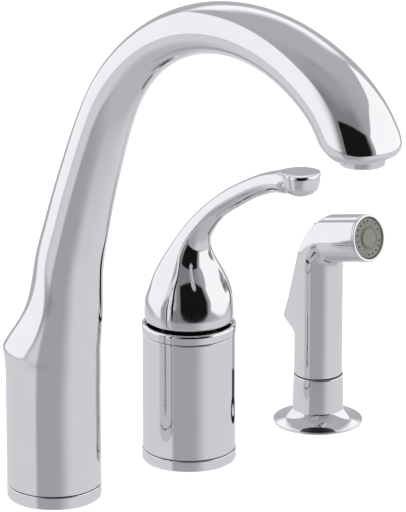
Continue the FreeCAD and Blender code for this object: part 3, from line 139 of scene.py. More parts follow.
class ValveSizes(bpy.types.PropertyGroup):
    ring_radius: length("Ring radius", "Radius of the base ring", 0.0284)
    ring_height: length("Ring height", "Height of the base ring", 0.0066)
    cover_radius: length("Cover radius", "Radius of the cover", 0.0281)
    cover_top: length("Cover top", "Height of the cover's top", 0.0802)
    trim_radius: length("Trim radius", "Radius of the trim ring", 0.0285)
    trim_top: length("Trim top", "Height of the trim ring's top", 0.0865)
    dome_radius: length("Dome radius", "Radius of the handle's dome", 0.0269)
    dome_base: length("Dome base", "Height of the dome's lower edge", 0.088)
    dome_cavity: length("Dome cavity", "Radius of the hollow in the dome", 0.0225)
    cavity_top: length("Cavity top", "Height of the hollow's flat top", 0.112)
    pivot_height: length("Pivot height", "Height of the handle's pivot", 0.098)
    pad_reach: length("Pad reach", "Reach of the thumb pad's centre", 0.088)
    pad_height: length("Pad height", "Height of the thumb pad", 0.199)
    pad_radius: length("Pad radius", "Radius of the thumb pad", 0.0114)
    pad_depth: length("Pad depth", "Depth of the thumb pad", 0.011)
    pad_tail: length("Pad tail", "Half the length of the pad's teardrop top", 0.0138)
    trim_bore: length("Trim bore", "Bore of the trim ring at its top", 0.0263)
    land_radius: length("Land radius", "Radius of the lands in the seams", 0.0274)
    seam: length("Seam", "Gap between the rings and the cover", 0.0004)


class SpraySizes(bpy.types.PropertyGroup):
    holder_radius: length("Holder radius", "Radius of the holder's flange", 0.0276)
    holder_rim: length("Holder rim", "Height of the flange's rim", 0.0013)
    cup_foot: length("Cup foot", "Height of the cup's foot", 0.0086)
    cup_foot_radius: length("Cup foot radius", "Radius at the cup's foot", 0.0159)
    holder_sweep: length("Holder sweep", "Radius of the sweep from flange to cup", 0.017)
    cup_radius: length("Cup radius", "Radius of the cup", 0.0153)
    cup_top: length("Cup top", "Height of the cup", 0.031)
    cup_bore: length("Cup bore", "Bore of the cup", 0.0136)
    liner_rim: length("Liner rim", "Thickness of the liner's rim", 0.0004)
    grip_radius: length("Grip radius", "Radius of the grip", 0.015)
    grip_top: length("Grip top", "Top of the grip inside the barrel", 0.118)
    barrel_radius: length("Barrel radius", "Radius of the barrel", 0.0147)
    barrel_tilt: degrees("Barrel tilt", "How far the barrel points up", 12.6)
    barrel_height: length("Barrel height", "Where the barrel's axis meets the grip's", 0.1186)
    barrel_back: length("Barrel back", "Reach where the barrel's round tail starts", 0.007)
    barrel_end: length("Barrel end", "Length of the barrel in front of the grip's axis", 0.0396)
    bezel_end: length("Bezel end", "Front of the bezel", 0.041)
    face_radius: length("Face radius", "Radius of the spray face", 0.01285)
    face_front: length("Face front", "Front of the spray face", 0.0403)
    button_radius: length("Button radius", "Radius of the raised centre", 0.006)
    button_proud: length("Button proud", "How far the centre stands proud", 0.0011)
    jet_ring: length("Jet ring", "Radius of the ring of jets", 0.0102)
    jet_radius: length("Jet radius", "Radius of one jet", 0.0007)
    jet_count: IntProperty(name="Jet count", description="Number of jets", default=18, min=3)
    fillet: length("Fillet", "Size of the fillet between grip and barrel", 0.0045)
    web_foot: length("Web foot", "Where the grip starts to stand out towards the lever", 0.050)
    web_half: length("Web half width", "Half width of the grip's back at the lever", 0.0096)
    web_inset: length("Web inset", "How far the lever stands out of the grip's back", 0.0018)
    bend_round: length("Bend round", "Softness of the bend over the lever's top", 0.011)
    hood_front: length("Hood front", "Reach of the step in the grip's side", 0.0078)
    hood_arch: length("Hood arch", "Height of the arch over that step", 0.1100)
    pin_reach: length("Pin reach", "Reach of the lever's pin", 0.002)
    pin_rise: length("Pin rise", "Height of the lever's pin over the barrel's axis", 0.0034)
    lever_half_width: length("Lever half width", "Half width of the lever", 0.0082)
    lever_plate: length("Lever plate", "Thickness of the lever's outer wall", 0.002)
    lever_spread: length("Lever spread", "How far the lever leans out", 0.02004)
    lever_fall: length("Lever fall", "Height of the lever's straight face", 0.0645)
    part_gap: length("Part gap", "Room round the lever", 0.0003)


class FixingSizes(bpy.types.PropertyGroup):
    deck_thickness: length("Deck thickness", "Thickness of the deck", 0.030)
    shank_radius: length("Shank radius", "Crest radius of the threaded shanks", 0.0158)
    shank_length: length("Shank length", "Length of the shanks below the deck", 0.076)
    shank_pitch: length("Shank pitch", "Pitch of the shanks' thread", 0.0018)
    holder_shank: length("Holder shank", "Crest radius of the holder's shank", 0.0142)
    holder_shank_length: length("Holder shank length", "Length of the holder's shank", 0.052)
    thread_depth: length("Thread depth", "Depth of a thread", 0.0007)
    nut_flats: length("Nut flats", "Width across the deck nuts' flats", 0.044)
    nut_height: length("Nut height", "Height of the deck nuts", 0.012)
    holder_nut_flats: length("Holder nut flats", "Width across the holder nut's flats", 0.038)
    holder_nut_height: length("Holder nut height", "Height of the holder nut", 0.010)
    washer_thick: length("Washer thickness", "Thickness of the deck washers", 0.0016)
    tube_radius: length("Tube radius", "Radius of the supply tubes", 0.0047625)
    tube_wall: length("Tube wall", "Wall of the supply tubes", 0.0009)
    tube_drop: length("Tube drop", "Length of tube below a shank", 0.054)


class FinishColours(bpy.types.PropertyGroup):
    chrome: colour("Chrome", "Polished chrome plate", (0.80, 0.80, 0.815))
    brass: colour("Brass", "Machined brass", (0.72, 0.55, 0.25))
    copper: colour("Copper", "Drawn copper tube", (0.72, 0.43, 0.30))
    steel: colour("Steel", "Stainless steel", (0.55, 0.55, 0.56))
    rubber: colour("Rubber", "Black rubber", (0.035, 0.035, 0.036))
    white_plastic: colour("White plastic", "Moulded acetal", (0.82, 0.82, 0.80))
    dark_plastic: colour("Dark plastic", "Moulded black plastic", (0.055, 0.055, 0.06))
    ceramic: colour("Ceramic", "Lapped alumina", (0.85, 0.84, 0.80))
    face_grey: colour("Spray face grey", "Warm grey plastic of the spray face",
                      (0.27, 0.262, 0.232))


class StudioSettings(bpy.types.PropertyGroup):
    view_turn: degrees("View turn", "Azimuth of the camera", -38.163)
    view_rise: degrees("View rise", "Elevation of the camera", 18.2)
    distance: length("Distance", "Camera distance", 2.6)
    aim_right: length("Aim right", "Sideways place of the picture's centre", 0.08834)
    aim_up: length("Aim up", "Upward place of the picture's centre", 0.141007)
    focal_pixels: FloatProperty(name="Focal length", description="Focal length in pixels",
                                default=4371.7)
    frame_height: IntProperty(name="Frame height", description="Picture height in pixels",
                              default=512)


def settings(name):
    return getattr(bpy.context.scene, "faucet_" + name)


# ---------------------------------------------------------------- meshes


def as_piece(name, mesh, body, nodes, slot):
    """Make a mesh a piece that rides on a body, in place of the CAD nodes that it stands for."""
    mesh.name = name
    mesh.materials.clear()
    mesh.materials.append(finish(slot))
    piece = bpy.data.objects.new(name, mesh)
    bpy.context.scene.collection.objects.link(piece)
    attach(piece, body)
    if nodes:
        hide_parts(*nodes)
    hide_from_mirrors(piece)
    return piece


def hide_from_mirrors(piece):
    """What reaches under the deck isn't mirrored in the plate above it."""
    piece.visible_glossy = min(corner[2] for corner in piece.bound_box) > -MM


def plain_mesh(shape, turn_out=True):
    """A plain mesh of a finished shape, with its faces turned outwards."""
    if turn_out:
        bmesh.ops.recalc_face_normals(shape, faces=shape.faces)
    mesh = bpy.data.meshes.new("start")
    shape.to_mesh(mesh)
    shape.free()
    return mesh


def finish_mesh(name, shape, body, nodes, slot, angle=SMOOTH_ANGLE):
    """Turn a finished shape into a piece, smooth apart from its crisp edges."""
    bmesh.ops.recalc_face_normals(shape, faces=shape.faces)
    for face in shape.faces:
        face.smooth = True
    for line in shape.edges:
        line.smooth = len(line.link_faces) == 2 and line.calc_face_angle(0.0) < angle
    return as_piece(name, plain_mesh(shape, turn_out=False), body, nodes, slot)


def station_matrix(station):
    row = settings("row")
    move = Matrix.Translation((station * row.hole_pitch, 0, 0))
    return move @ Matrix.Rotation(row.facing_turn, 4, "Z")


def skin_rings(shape, rings, matrix):
    """Join rings of points by faces. A ring of one point closes an end."""
    rows = [[shape.verts.new(matrix @ Vector(point)) for point in ring] for ring in rings]
    for lower, upper in zip(rows, rows[1:]):
        count = max(len(lower), len(upper))
        for step in range(count):
            corners = [lower[step % len(lower)], lower[(step + 1) % len(lower)],
                       upper[(step + 1) % len(upper)], upper[step % len(upper)]]
            unique = list(dict.fromkeys(corners))
            if len(unique) > 2:
                shape.faces.new(unique)
    return rows


def skin_with_ends(shape, rows, matrix):
    """Skin a row of oval sections and close both its ends."""
    rings = skin_rings(shape, [oval_ring(row) for row in rows], matrix)
    shape.faces.new(rings[0])
    shape.faces.new(rings[-1])


def rung_table(rungs):
    """Rungs as rows of numbers, and the length from each to the next."""
    table = np.array([(*back, *front, width) for back, front, width in rungs])
    moves = np.diff(table[:, :4], axis=0)
    return table, (np.hypot(moves[:, 0], moves[:, 1]) + np.hypot(moves[:, 2], moves[:, 3])) / 2.0


def evenly(table, steps, spacing, curve):
    """Rows at an even spacing, from a curve over each step."""
    rows = []
    for index, width in enumerate(steps):
        pieces = max(1, int(round(width / spacing)))
        rows += [curve(index, width, part / pieces) for part in range(pieces)]
    return rows + [table[-1]]


def cubic_rows(rungs, spacing):
    """Rungs on a natural cubic spline through the given ones, evenly spaced."""
    table, steps = rung_table(rungs)
    system, right = np.eye(len(table)), np.zeros_like(table)
    for index in range(1, len(table) - 1):
        before, after = steps[index - 1], steps[index]
        system[index, index - 1:index + 2] = before, 2.0 * (before + after), after
        right[index] = 6.0 * ((table[index + 1] - table[index]) / after
                              - (table[index] - table[index - 1]) / before)
    bend = np.linalg.solve(system, right)

    def curve(index, width, b):
        a = 1.0 - b
        return (a * table[index] + b * table[index + 1]
                + ((a ** 3 - a) * bend[index] + (b ** 3 - b) * bend[index + 1])
                * width ** 2 / 6.0)

    return evenly(table, steps, spacing, curve)


def eased_rows(rungs, spacing):
    """Rungs on a cubic that keeps straight stretches straight."""
    table, steps = rung_table(rungs)
    slopes = np.diff(table, axis=0) / steps[:, None]
    tangents = np.zeros_like(table)
    tangents[0], tangents[-1] = slopes[0], slopes[-1]
    for index in range(1, len(table) - 1):
        before, after = slopes[index - 1], slopes[index]
        same = before * after > 0
        total = np.where(same, before + after, 1.0)
        tangents[index] = np.where(same, 2.0 * before * after / total, 0.0)

    def curve(index, width, t):
        return ((2 * t ** 3 - 3 * t ** 2 + 1) * table[index]
                + (t ** 3 - 2 * t ** 2 + t) * width * tangents[index]
                + (3 * t ** 2 - 2 * t ** 3) * table[index + 1]
                + (t ** 3 - t ** 2) * width * tangents[index + 1])

    return evenly(table, steps, spacing, curve)


def oval_ring(row):
    """Points of one oval section, in the station's own frame."""
    back_reach, back_height, front_reach, front_height, width = row
    ring = []
    for step in range(RING_POINTS):
        angle = 2.0 * math.pi * step / RING_POINTS
        share = (1.0 - math.cos(angle)) / 2.0
        ring.append((math.sin(angle) * width,
                     -(back_reach + (front_reach - back_reach) * share),
                     back_height + (front_height - back_height) * share))
    return ring


def round_row(reach, height, radius):
    """A round section about an upright axis, with its back towards smaller reach."""
    return (reach - radius, height, reach + radius, height, radius)


def softened(corners, radius):
    """Round the corners of a closed (radius, height) profile, apart from those on the axis. A
    corner's third number is its own rounding."""
    result = []
    steps, share, brace = 4, 0.45, 0.04
    for index, corner in enumerate(corners):
        here, before, after = (Vector(corners[place % len(corners)][:2])
                               for place in (index, index - 1, index + 1))
        back, ahead = before - here, after - here
        cut = min(corner[2] if len(corner) > 2 else radius,
                  back.length * share, ahead.length * share)
        if here.x < ON_AXIS or cut < 1e-6 or back.angle(ahead) > STRAIGHT:
            result.append(tuple(here))
            continue
        first, last = here + back.normalized() * cut, here + ahead.normalized() * cut
        hold = min(cut * 0.5, 0.2 * MM)
        result.append(tuple(first + back.normalized() * min(hold, back.length * brace)))
        for step in range(steps + 1):
            t = step / steps
            result.append(tuple(first * (1 - t) ** 2 + here * 2 * t * (1 - t) + last * t ** 2))
        result.append(tuple(last + ahead.normalized() * min(hold, ahead.length * brace)))
    return result


def circle(radius, height, count):
    """Points of a level circle about the upright axis."""
    turns = [2 * math.pi * step / count for step in range(count)]
    return [(radius * math.cos(turn), radius * math.sin(turn), height) for turn in turns]


def lathe(shape, profile, matrix, count=LATHE_POINTS):
    """Turn a closed (radius, height) profile about the upright axis."""
    rings = [[(0, 0, height)] if radius < ON_AXIS else circle(radius, height, count)
             for radius, height in profile]
    if len(rings[0]) > 1:
        rings.append(rings[0])
    skin_rings(shape, rings, matrix)
    bmesh.ops.remove_doubles(shape, verts=shape.verts, dist=ON_AXIS)


def turned_piece(name, corners, station, body, nodes, slot, soft=None, place=None):
    """A piece turned from a closed half profile, with softened edges."""
    shape = bmesh.new()
    matrix = station_matrix(station) @ (place or Matrix())
    lathe(shape, softened(corners, settings("row").edge if soft is None else soft), matrix)
    return finish_mesh(name, shape, body, nodes, slot)


def in_mm(*corners):
    """Profile corners given in millimetres."""
    return [tuple(value * MM for value in corner) for corner in corners]


def at(across=0.0, reach=0.0, height=0.0):
    """Place in a station's own frame."""
    return Matrix.Translation((across, -reach, height))


def sweep(start, end, radius):
    """Points between two profile corners on an arc that bulges towards the axis."""
    start, end = Vector(start), Vector(end)
    chord = end - start
    side = Vector((chord.y, -chord.x)).normalized()
    centre = (start + end) / 2.0 + side * math.sqrt(radius ** 2 - chord.length_squared / 4.0)
    first = start - centre
    span = first.angle_signed(end - centre)
    steps = 20
    return [tuple(centre + Matrix.Rotation(-span * step / steps, 2) @ first) + (0.0,)
            for step in range(1, steps)]


def bounded(*parts, soft):
    """Distance to what all the given distances enclose, with rounded edges."""
    whole = parts[0]
    for part in parts[1:]:
        share = np.clip(0.5 - 0.5 * (part - whole) / soft, 0.0, 1.0)
        whole = part + (whole - part) * share + soft * share * (1.0 - share)
    return whole


def joined(first, second, soft):
    """Distance to two shapes together, with a fillet between them."""
    return -bounded(-first, -second, soft=soft)


def surface_slope(shape_at, points):
    step = 2e-5
    shifts = step * np.eye(3)
    slopes = [shape_at(*(points + shift).T) - shape_at(*(points - shift).T) for shift in shifts]
    return np.stack(slopes, axis=1) / (2.0 * step)


def skin_of(shape_at, low, high, cell):
    """Points, outward directions and quads of the surface where a distance is nought: one point
    in each grid cell that the surface crosses, moved onto the surface."""
    low = np.array(low)
    counts = np.ceil((np.array(high) - low) / cell).astype(int) + 1
    axes = [low[axis] + cell * np.arange(counts[axis]) for axis in range(3)]
    inside = shape_at(*np.meshgrid(*axes, indexing="ij")) < 0.0
    filled = sum(inside[tuple(slice(shift, count - 1 + shift)
                              for shift, count in zip(corner, counts))].astype(int)
                 for corner in itertools.product((0, 1), repeat=3))
    crossed = (filled > 0) & (filled < 8)
    number = np.full(crossed.shape, -1)
    number[crossed] = np.arange(crossed.sum())
    middles = low + (np.argwhere(crossed) + 0.5) * cell
    points = middles.copy()
    rounds, flattest, stray = 8, 0.05, 0.7 * cell
    for _ in range(rounds):
        slope = surface_slope(shape_at, points)
        steep = np.maximum((slope ** 2).sum(axis=1), flattest)
        points -= slope * (shape_at(*points.T) / steep)[:, None]
        points = np.clip(points, middles - stray, middles + stray)
    quads = []
    for axis in range(3):
        ahead, behind = [slice(None)] * 3, [slice(None)] * 3
        ahead[axis], behind[axis] = slice(1, None), slice(None, -1)
        here, there = inside[tuple(behind)], inside[tuple(ahead)]
        spots = np.argwhere(here != there)
        second, third = (axis + 1) % 3, (axis + 2) % 3
        loop = []
        for back_second, back_third in ((1, 1), (0, 1), (0, 0), (1, 0)):
            cells = spots.copy()
            cells[:, second] -= back_second
            cells[:, third] -= back_third
            loop.append(number[tuple(cells.T)])
        loop = np.stack(loop, axis=1)
        leaving = here[tuple(spots.T)]
        quads.append(np.where(leaving[:, None], loop, loop[:, ::-1]))
    slope = surface_slope(shape_at, points)
    outward = slope / np.maximum(np.linalg.norm(slope, axis=1), 1e-9)[:, None]
    return points, outward, np.concatenate(quads)


def skinned_piece(name, shape_at, low, high, cell, station, body, nodes, slot):
    """A free-form piece skinned from a distance."""
    points, outward, quads = skin_of(shape_at, low, high, cell)
    matrix = np.array(station_matrix(station))
    points = points @ matrix[:3, :3].T + matrix[:3, 3]
    outward = outward @ matrix[:3, :3].T
    mesh = bpy.data.meshes.new(name)
    mesh.from_pydata(points.tolist(), [], quads.tolist())
    mesh.shade_smooth()
    mesh.normals_split_custom_set_from_vertices(outward.tolist())
    return as_piece(name, mesh, body, nodes, slot)


class Tree:
    """Short ways to add and join nodes."""

    prefix = ""

    def __init__(self, tree):
        self.tree = tree
        tree.nodes.clear()

    def feed(self, socket, value):
        if isinstance(value, bpy.types.NodeSocket):
            self.tree.links.new(value, socket)
        else:
            socket.default_value = value

    def fill(self, node, *values, **named):
        """Set a node's inputs in their order, and others by their names."""
        for socket, value in zip(node.inputs, values):
            self.feed(socket, value)
        for name, value in named.items():
            self.feed(node.inputs[name.replace("_", " ")], value)
        return node

    def new(self, kind, mode, *values, **named):
        node = self.tree.nodes.new(kind)
        for name, value in (mode or {}).items():
            setattr(node, name, value)
        return self.fill(node, *values, **named)

    def add(self, kind, mode=None, *values, **named):
        return self.new(self.prefix + kind, mode, *values, **named)

    def sum(self, operation, *values):
        return self.new("ShaderNodeMath", {"operation": operation}, *values).outputs[0]


class Rule(Tree):
    """A Geometry Nodes tree with named inputs, run once to make a plain mesh."""

    prefix = "GeometryNode"

    def __init__(self, title, **sizes):
        super().__init__(bpy.data.node_groups.new(title, "GeometryNodeTree"))
        self.interface("Geometry", "INPUT", "NodeSocketGeometry")
        for name, value in sizes.items():
            kind = "NodeSocketInt" if isinstance(value, int) else "NodeSocketFloat"
            self.interface(name.replace("_", " "), "INPUT", kind).default_value = value
        self.interface("Finish", "INPUT", "NodeSocketMaterial")
        self.interface("Geometry", "OUTPUT", "NodeSocketGeometry")
        self.inputs = self.tree.nodes.new("NodeGroupInput").outputs

    def interface(self, name, way, kind):
        return self.tree.interface.new_socket(name=name, in_out=way, socket_type=kind)

    def drilled(self, spots, sides):
        """The start mesh with a round hole at every spot."""
        drill = self.add("MeshCylinder", Vertices=sides, Radius=self.inputs["Hole radius"],
                         Depth=self.inputs["Depth"])
        drills = self.add("InstanceOnPoints", Points=spots, Instance=drill.outputs[0])
        real = self.add("RealizeInstances", Geometry=drills.outputs[0])
        cut = self.add("MeshBoolean", {"operation": "DIFFERENCE"}, Mesh_1=self.inputs["Geometry"],
                       Mesh_2=real.outputs[0])
        return self.end(cut.outputs[0])

    def end(self, geometry):
        real = self.add("RealizeInstances", Geometry=geometry)
        painted = self.add("SetMaterial", Geometry=real.outputs[0],
                           Material=self.inputs["Finish"])
        output = self.tree.nodes.new("NodeGroupOutput")
        self.tree.links.new(painted.outputs[0], output.inputs[0])
        return self

    def run(self, start, material, **sizes):
        """Plain mesh that the tree makes from a start mesh."""
        holder = bpy.data.objects.new("rule", start)
        bpy.context.scene.collection.objects.link(holder)
        modifier = holder.modifiers.new("rule", "NODES")
        modifier.node_group = self.tree
        wanted = {name.replace("_", " "): value for name, value in sizes.items()}
        wanted["Finish"] = material
        for item in self.tree.interface.items_tree:
            if item.item_type == "SOCKET" and item.in_out == "INPUT" and item.name in wanted:
                modifier[item.identifier] = wanted[item.name]
        seen = holder.evaluated_get(bpy.context.evaluated_depsgraph_get())
        mesh = bpy.data.meshes.new_from_object(seen)
        bpy.data.objects.remove(holder)
        return mesh


def crisp(mesh, matrix, angle=SMOOTH_ANGLE):
    """Place a made mesh and keep only its sharp edges crisp."""
    mesh.transform(matrix)
    mesh.shade_smooth()
    mesh.set_sharp_from_angle(angle=angle)
    return mesh


def thread_rule():
    """A helical ridge of V section."""
    rule = Rule("thread", Crest_radius=0.0158, Length=0.05, Pitch=0.0018, Depth=0.0007)
    size = rule.inputs
    core = rule.sum("SUBTRACT", size["Crest radius"], size["Depth"])
    spiral = rule.add("CurveSpiral", Resolution=56,
                      Rotations=rule.sum("DIVIDE", size["Length"], size["Pitch"]),
                      Start_Radius=core, End_Radius=core, Height=size["Length"])
    upright = rule.add("SetCurveNormal", {"mode": "Z_UP"}, Curve=spiral.outputs[0])
    ridge = rule.add("CurvePrimitiveCircle", Resolution=4, Radius=size["Depth"])
    swept = rule.add("CurveToMesh", Curve=upright.outputs[0], Profile_Curve=ridge.outputs[0],
                     Fill_Caps=True)
    return rule.end(swept.outputs[0])


def ring_holes_rule():
    """A ring of round holes through a plate that lies level round the upright axis."""
    rule = Rule("ring_of_holes", Ring_radius=0.0102, Count=18, Hole_radius=0.0005, Depth=0.01)
    spots = rule.add("MeshCircle", Vertices=rule.inputs["Count"],
                     Radius=rule.inputs["Ring radius"])
    return rule.drilled(spots.outputs[0], 14)


def screen_holes_rule():
    """A field of round holes in rows through a level plate, up to a given radius."""
    rule = Rule("field_of_holes", Field_radius=0.0088, Pitch=0.0019, Hole_radius=0.00055,
                Depth=0.01)
    field, pitch = rule.inputs["Field radius"], rule.inputs["Pitch"]
    across = rule.sum("ROUND", rule.sum("DIVIDE", rule.sum("MULTIPLY", field, 2.0), pitch))
    span, count = rule.sum("MULTIPLY", across, pitch), rule.sum("ADD", across, 1.0)
    grid = rule.add("MeshGrid", None, span, span, count, count)
    place = rule.add("InputPosition").outputs[0]
    reach = rule.new("ShaderNodeVectorMath", {"operation": "LENGTH"}, place)
    outside = rule.sum("GREATER_THAN", reach.outputs["Value"], field)
    kept = rule.add("DeleteGeometry", {"domain": "POINT"}, grid.outputs[0], outside)
    return rule.drilled(kept.outputs[0], 12)


# ---------------------------------------------------------------- materials


class Graph(Tree):
    """Short ways to add and join shader nodes."""

    prefix = "ShaderNode"

    def band(self, value, low, high, to_low=0.0, to_high=1.0):
        """A soft step from one value to another."""
        return self.add("MapRange", {"interpolation_type": "SMOOTHSTEP"}, value, low, high,
                        to_low, to_high).outputs[0]

    def blend(self, share, first, second):
        node = self.add("Mix", {"data_type": "RGBA"}, share)
        self.feed(node.inputs[6], first)
        self.feed(node.inputs[7], second)
        return node.outputs[2]

    def noise(self, vector, scale, detail, roughness=0.5):
        return self.add("TexNoise", Vector=vector, Scale=scale, Detail=detail,
                        Roughness=roughness).outputs["Fac"]

    def bump(self, height, depth, strength):
        return self.add("Bump", Strength=strength, Distance=depth, Height=height).outputs[0]

    def mixed(self, share, first, second):
        """One shader where the share is nought, the other where it is one."""
        return self.add("MixShader", None, share, first.outputs[0], second.outputs[0])


def shade(tint, strength):
    return tuple(min(1.0, channel * strength) for channel in tint) + (1.0,)


def new_finish(name, roughness, metallic, specular=0.5):
    """A material with its main shader and object coordinates ready."""
    material = bpy.data.materials.new(name)
    material.use_nodes = True
    graph = Graph(material.node_tree)
    shader = graph.add("BsdfPrincipled", Metallic=metallic, Roughness=roughness,
                       Specular_IOR_Level=specular)
    graph.add("OutputMaterial", Surface=shader.outputs[0]).is_active_output = True
    return material, graph, shader, graph.add("TexCoord").outputs["Object"]


def chrome_finish():
    """Bright plate with the faint waviness and haze that hand polishing leaves."""
    material, graph, shader, place = new_finish("polished_chrome", 0.05, 1.0)
    tint = settings("colours").chrome
    cloud, haze = graph.noise(place, 38.0, 4.0), graph.noise(place, 210.0, 5.0, 0.6)
    graph.fill(shader, Base_Color=graph.blend(graph.band(cloud, 0.3, 0.7), shade(tint, 0.985),
                                              shade(tint, 1.0)),
               Roughness=graph.band(haze, 0.25, 0.8, 0.035, 0.075),
               Normal=graph.bump(graph.noise(place, 55.0, 1.0), 0.03 * MM, 0.25))
    return material


def turned_metal(name, tint, roughness, line_scale, dull):
    """Machined metal: fine tool lines round the axis, and a patchy tarnish."""
    material, graph, shader, place = new_finish(name, roughness, 1.0)
    patch = graph.noise(place, 60.0, 6.0, 0.6)
    stretched = graph.add("Mapping", Scale=(20.0, 20.0, line_scale), Vector=place)
    lines = graph.noise(stretched.outputs[0], 1.0, 2.0)
    graph.fill(shader, Base_Color=graph.blend(graph.band(patch, 0.35, 0.7), shade(tint, 1.0),
                                              shade(tint, dull)),
               Roughness=graph.band(patch, 0.3, 0.75, roughness * 0.8, roughness * 1.5),
               Normal=graph.bump(lines, 0.06 * MM, 0.5))
    return material


def moulded(name, tint, roughness, grain_scale, grain_depth, specular=0.5):
    """Moulded plastic, rubber or ceramic with a fine grain and slight mottling."""
    material, graph, shader, place = new_finish(name, roughness, 0.0, specular)
    mottle = graph.noise(place, 90.0, 4.0)
    grain = graph.noise(place, grain_scale, 4.0, 0.65)
    graph.fill(shader, Base_Color=graph.blend(graph.band(mottle, 0.3, 0.7), shade(tint, 0.93),
                                              shade(tint, 1.04)),
               Roughness=graph.band(grain, 0.3, 0.7, roughness * 0.85,
                                    min(1.0, roughness * 1.15)),
               Normal=graph.bump(grain, grain_depth, 0.4))
    return material


def make_finishes():
    tints = settings("colours")
    return {
        "chrome": chrome_finish(),
        "brass": turned_metal("machined_brass", tints.brass, 0.28, 5200.0, 0.72),
        "copper": turned_metal("drawn_copper", tints.copper, 0.3, 900.0, 0.7),
        "steel": turned_metal("stainless_steel", tints.steel, 0.25, 3600.0, 0.85),
        "rubber": moulded("black_rubber", tints.rubber, 0.75, 1400.0, 0.00004, 0.3),
        "white_plastic": moulded("white_acetal", tints.white_plastic, 0.45, 1700.0, 0.00002),
        "dark_plastic": moulded("black_plastic", tints.dark_plastic, 0.5, 1900.0, 0.00003),
        "ceramic": moulded("lapped_ceramic", tints.ceramic, 0.18, 2600.0, 0.00001, 0.6),
        "grey_plastic": moulded("warm_grey_plastic", tints.face_grey, 0.5, 2100.0, 0.00003,
                                0.4),
    }


FINISHES = {}


def finish(slot):
    if not FINISHES:
        FINISHES.update(make_finishes())
    return FINISHES[slot]


# ---------------------------------------------------------------- spout


def path_point(sizes, angle):
    """Centre line point of the spout and the direction away from its arch's centre, where the
    path leans by an angle in degrees: 90 is straight up, 0 is level."""
    lean = math.radians(angle)
    away = (-math.sin(lean), math.cos(lean))
    centre = [sizes.arch_reach, sizes.arch_height]
    radius = sizes.arch_radius
    for joint, bend, past in ((sizes.leg_angle, sizes.leg_radius, angle > sizes.leg_angle),
                              (sizes.nose_angle, sizes.nose_radius, angle < sizes.nose_angle)):
        if past:
            turn = math.radians(joint)
            shift = radius - bend
            centre = [centre[0] - shift * math.sin(turn), centre[1] + shift * math.cos(turn)]
            radius = bend
    return (centre[0] + radius * away[0], centre[1] + radius * away[1]), away


def path_length(sizes, angle):
    """Length along the centre line from the spout's thinnest section, below 0 past it."""
    on_arch = min(max(angle, sizes.nose_angle), sizes.leg_angle)
    return math.radians(sizes.arch_radius * (on_arch - sizes.thin_angle)
                        + sizes.leg_radius * max(0.0, angle - sizes.leg_angle)
                        + sizes.nose_radius * min(0.0, angle - sizes.nose_angle))


def path_rung(sizes, angle):
    """Section of the spout square to its centre line."""
    (reach, height), away = path_point(sizes, angle)
    run = path_length(sizes, angle)
    wide, deep, power, limit = sizes.leg_width, sizes.leg_depth, 1.4, sizes.leg_foot_angle
    if run < 0:
        wide, deep, power, limit = (sizes.nose_width, sizes.nose_depth, 1.5,
                                    sizes.nose_end_angle)
    share = (run / path_length(sizes, limit)) ** power
    depth = sizes.thin_depth + (deep - sizes.thin_depth) * share
    width = sizes.thin_width + (wide - sizes.thin_width) * share
    return ((reach + depth * away[0], height + depth * away[1]),
            (reach - depth * away[0], height - depth * away[1]), width)


def body_rungs(sizes):
    """Spout body, from its seam up to the ridge of the heel."""
    radius, heel = sizes.base_radius, sizes.heel_height
    low = sizes.ring_height + sizes.seam
    rungs = [((-radius, low), (radius, low), radius)]
    for share, flare in ((0.0, 0.0), (0.42, 0.1), (0.74, 0.42), (1.0, 1.0)):
        height = sizes.body_top + (heel - sizes.body_top) * share
        rungs.append(((-radius + (radius - sizes.heel_reach) * flare, height),
                      (radius + (sizes.heel_front - radius) * share, height),
                      radius + (sizes.heel_width - radius) * share))
    return rungs


def shoulder_rungs(sizes):
    """From the ridge of the heel up to the foot of the leg."""
    foot_back, foot_front, foot_width = path_rung(sizes, sizes.leg_foot_angle)

    def between(start, end, share):
        return start + (end - start) * share

    heel = sizes.heel_height
    return [((between(-sizes.heel_reach, foot_back[0], back_in),
              between(heel, foot_back[1], share)),
             (between(sizes.heel_front, foot_front[0], front_in),
              between(heel, foot_front[1], share)),
             between(sizes.heel_width, foot_width, width_in))
            for share, back_in, front_in, width_in in (
                (0.0, 0.0, 0.0, 0.0), (0.115, 0.188, 0.13, 0.12), (0.254, 0.424, 0.27, 0.30),
                (0.484, 0.725, 0.54, 0.60))]


def arch_rungs(sizes):
    """Leg, arch and nose, square to the centre line."""
    foot = sizes.leg_foot_angle
    angles = [foot, foot - 1.5, foot - 3.0, foot - 5.5, sizes.leg_angle]
    angles += [60, 50, 40, 30, 18, 6, -6, -18, -30, -40, -50, sizes.nose_end_angle]
    return [path_rung(sizes, angle) for angle in angles]


def mouth_rungs(sizes):
    """The rounded lower rim of the spout, down to the flat round the aerator."""
    reach, height, roll = sizes.mouth_reach, sizes.mouth_height, sizes.mouth_roll
    rungs = []
    for back_out, back_up, front_out, front_up, widen in (
            (0.52, 0.99, 0.59, 0.566, 0.65), (0.566, 0.566, 0.37, 0.40, 0.554),
            (0.40, 0.193, 0.06, 0.205, 0.313), (0.0, 0.0, 0.0, 0.0, 0.0)):
        rungs.append(((reach + sizes.mouth_depth + back_out * roll, height + back_up * roll),
                      (reach - sizes.mouth_depth - front_out * roll, height + front_up * roll),
                      sizes.mouth_width + widen * roll))
    return rungs


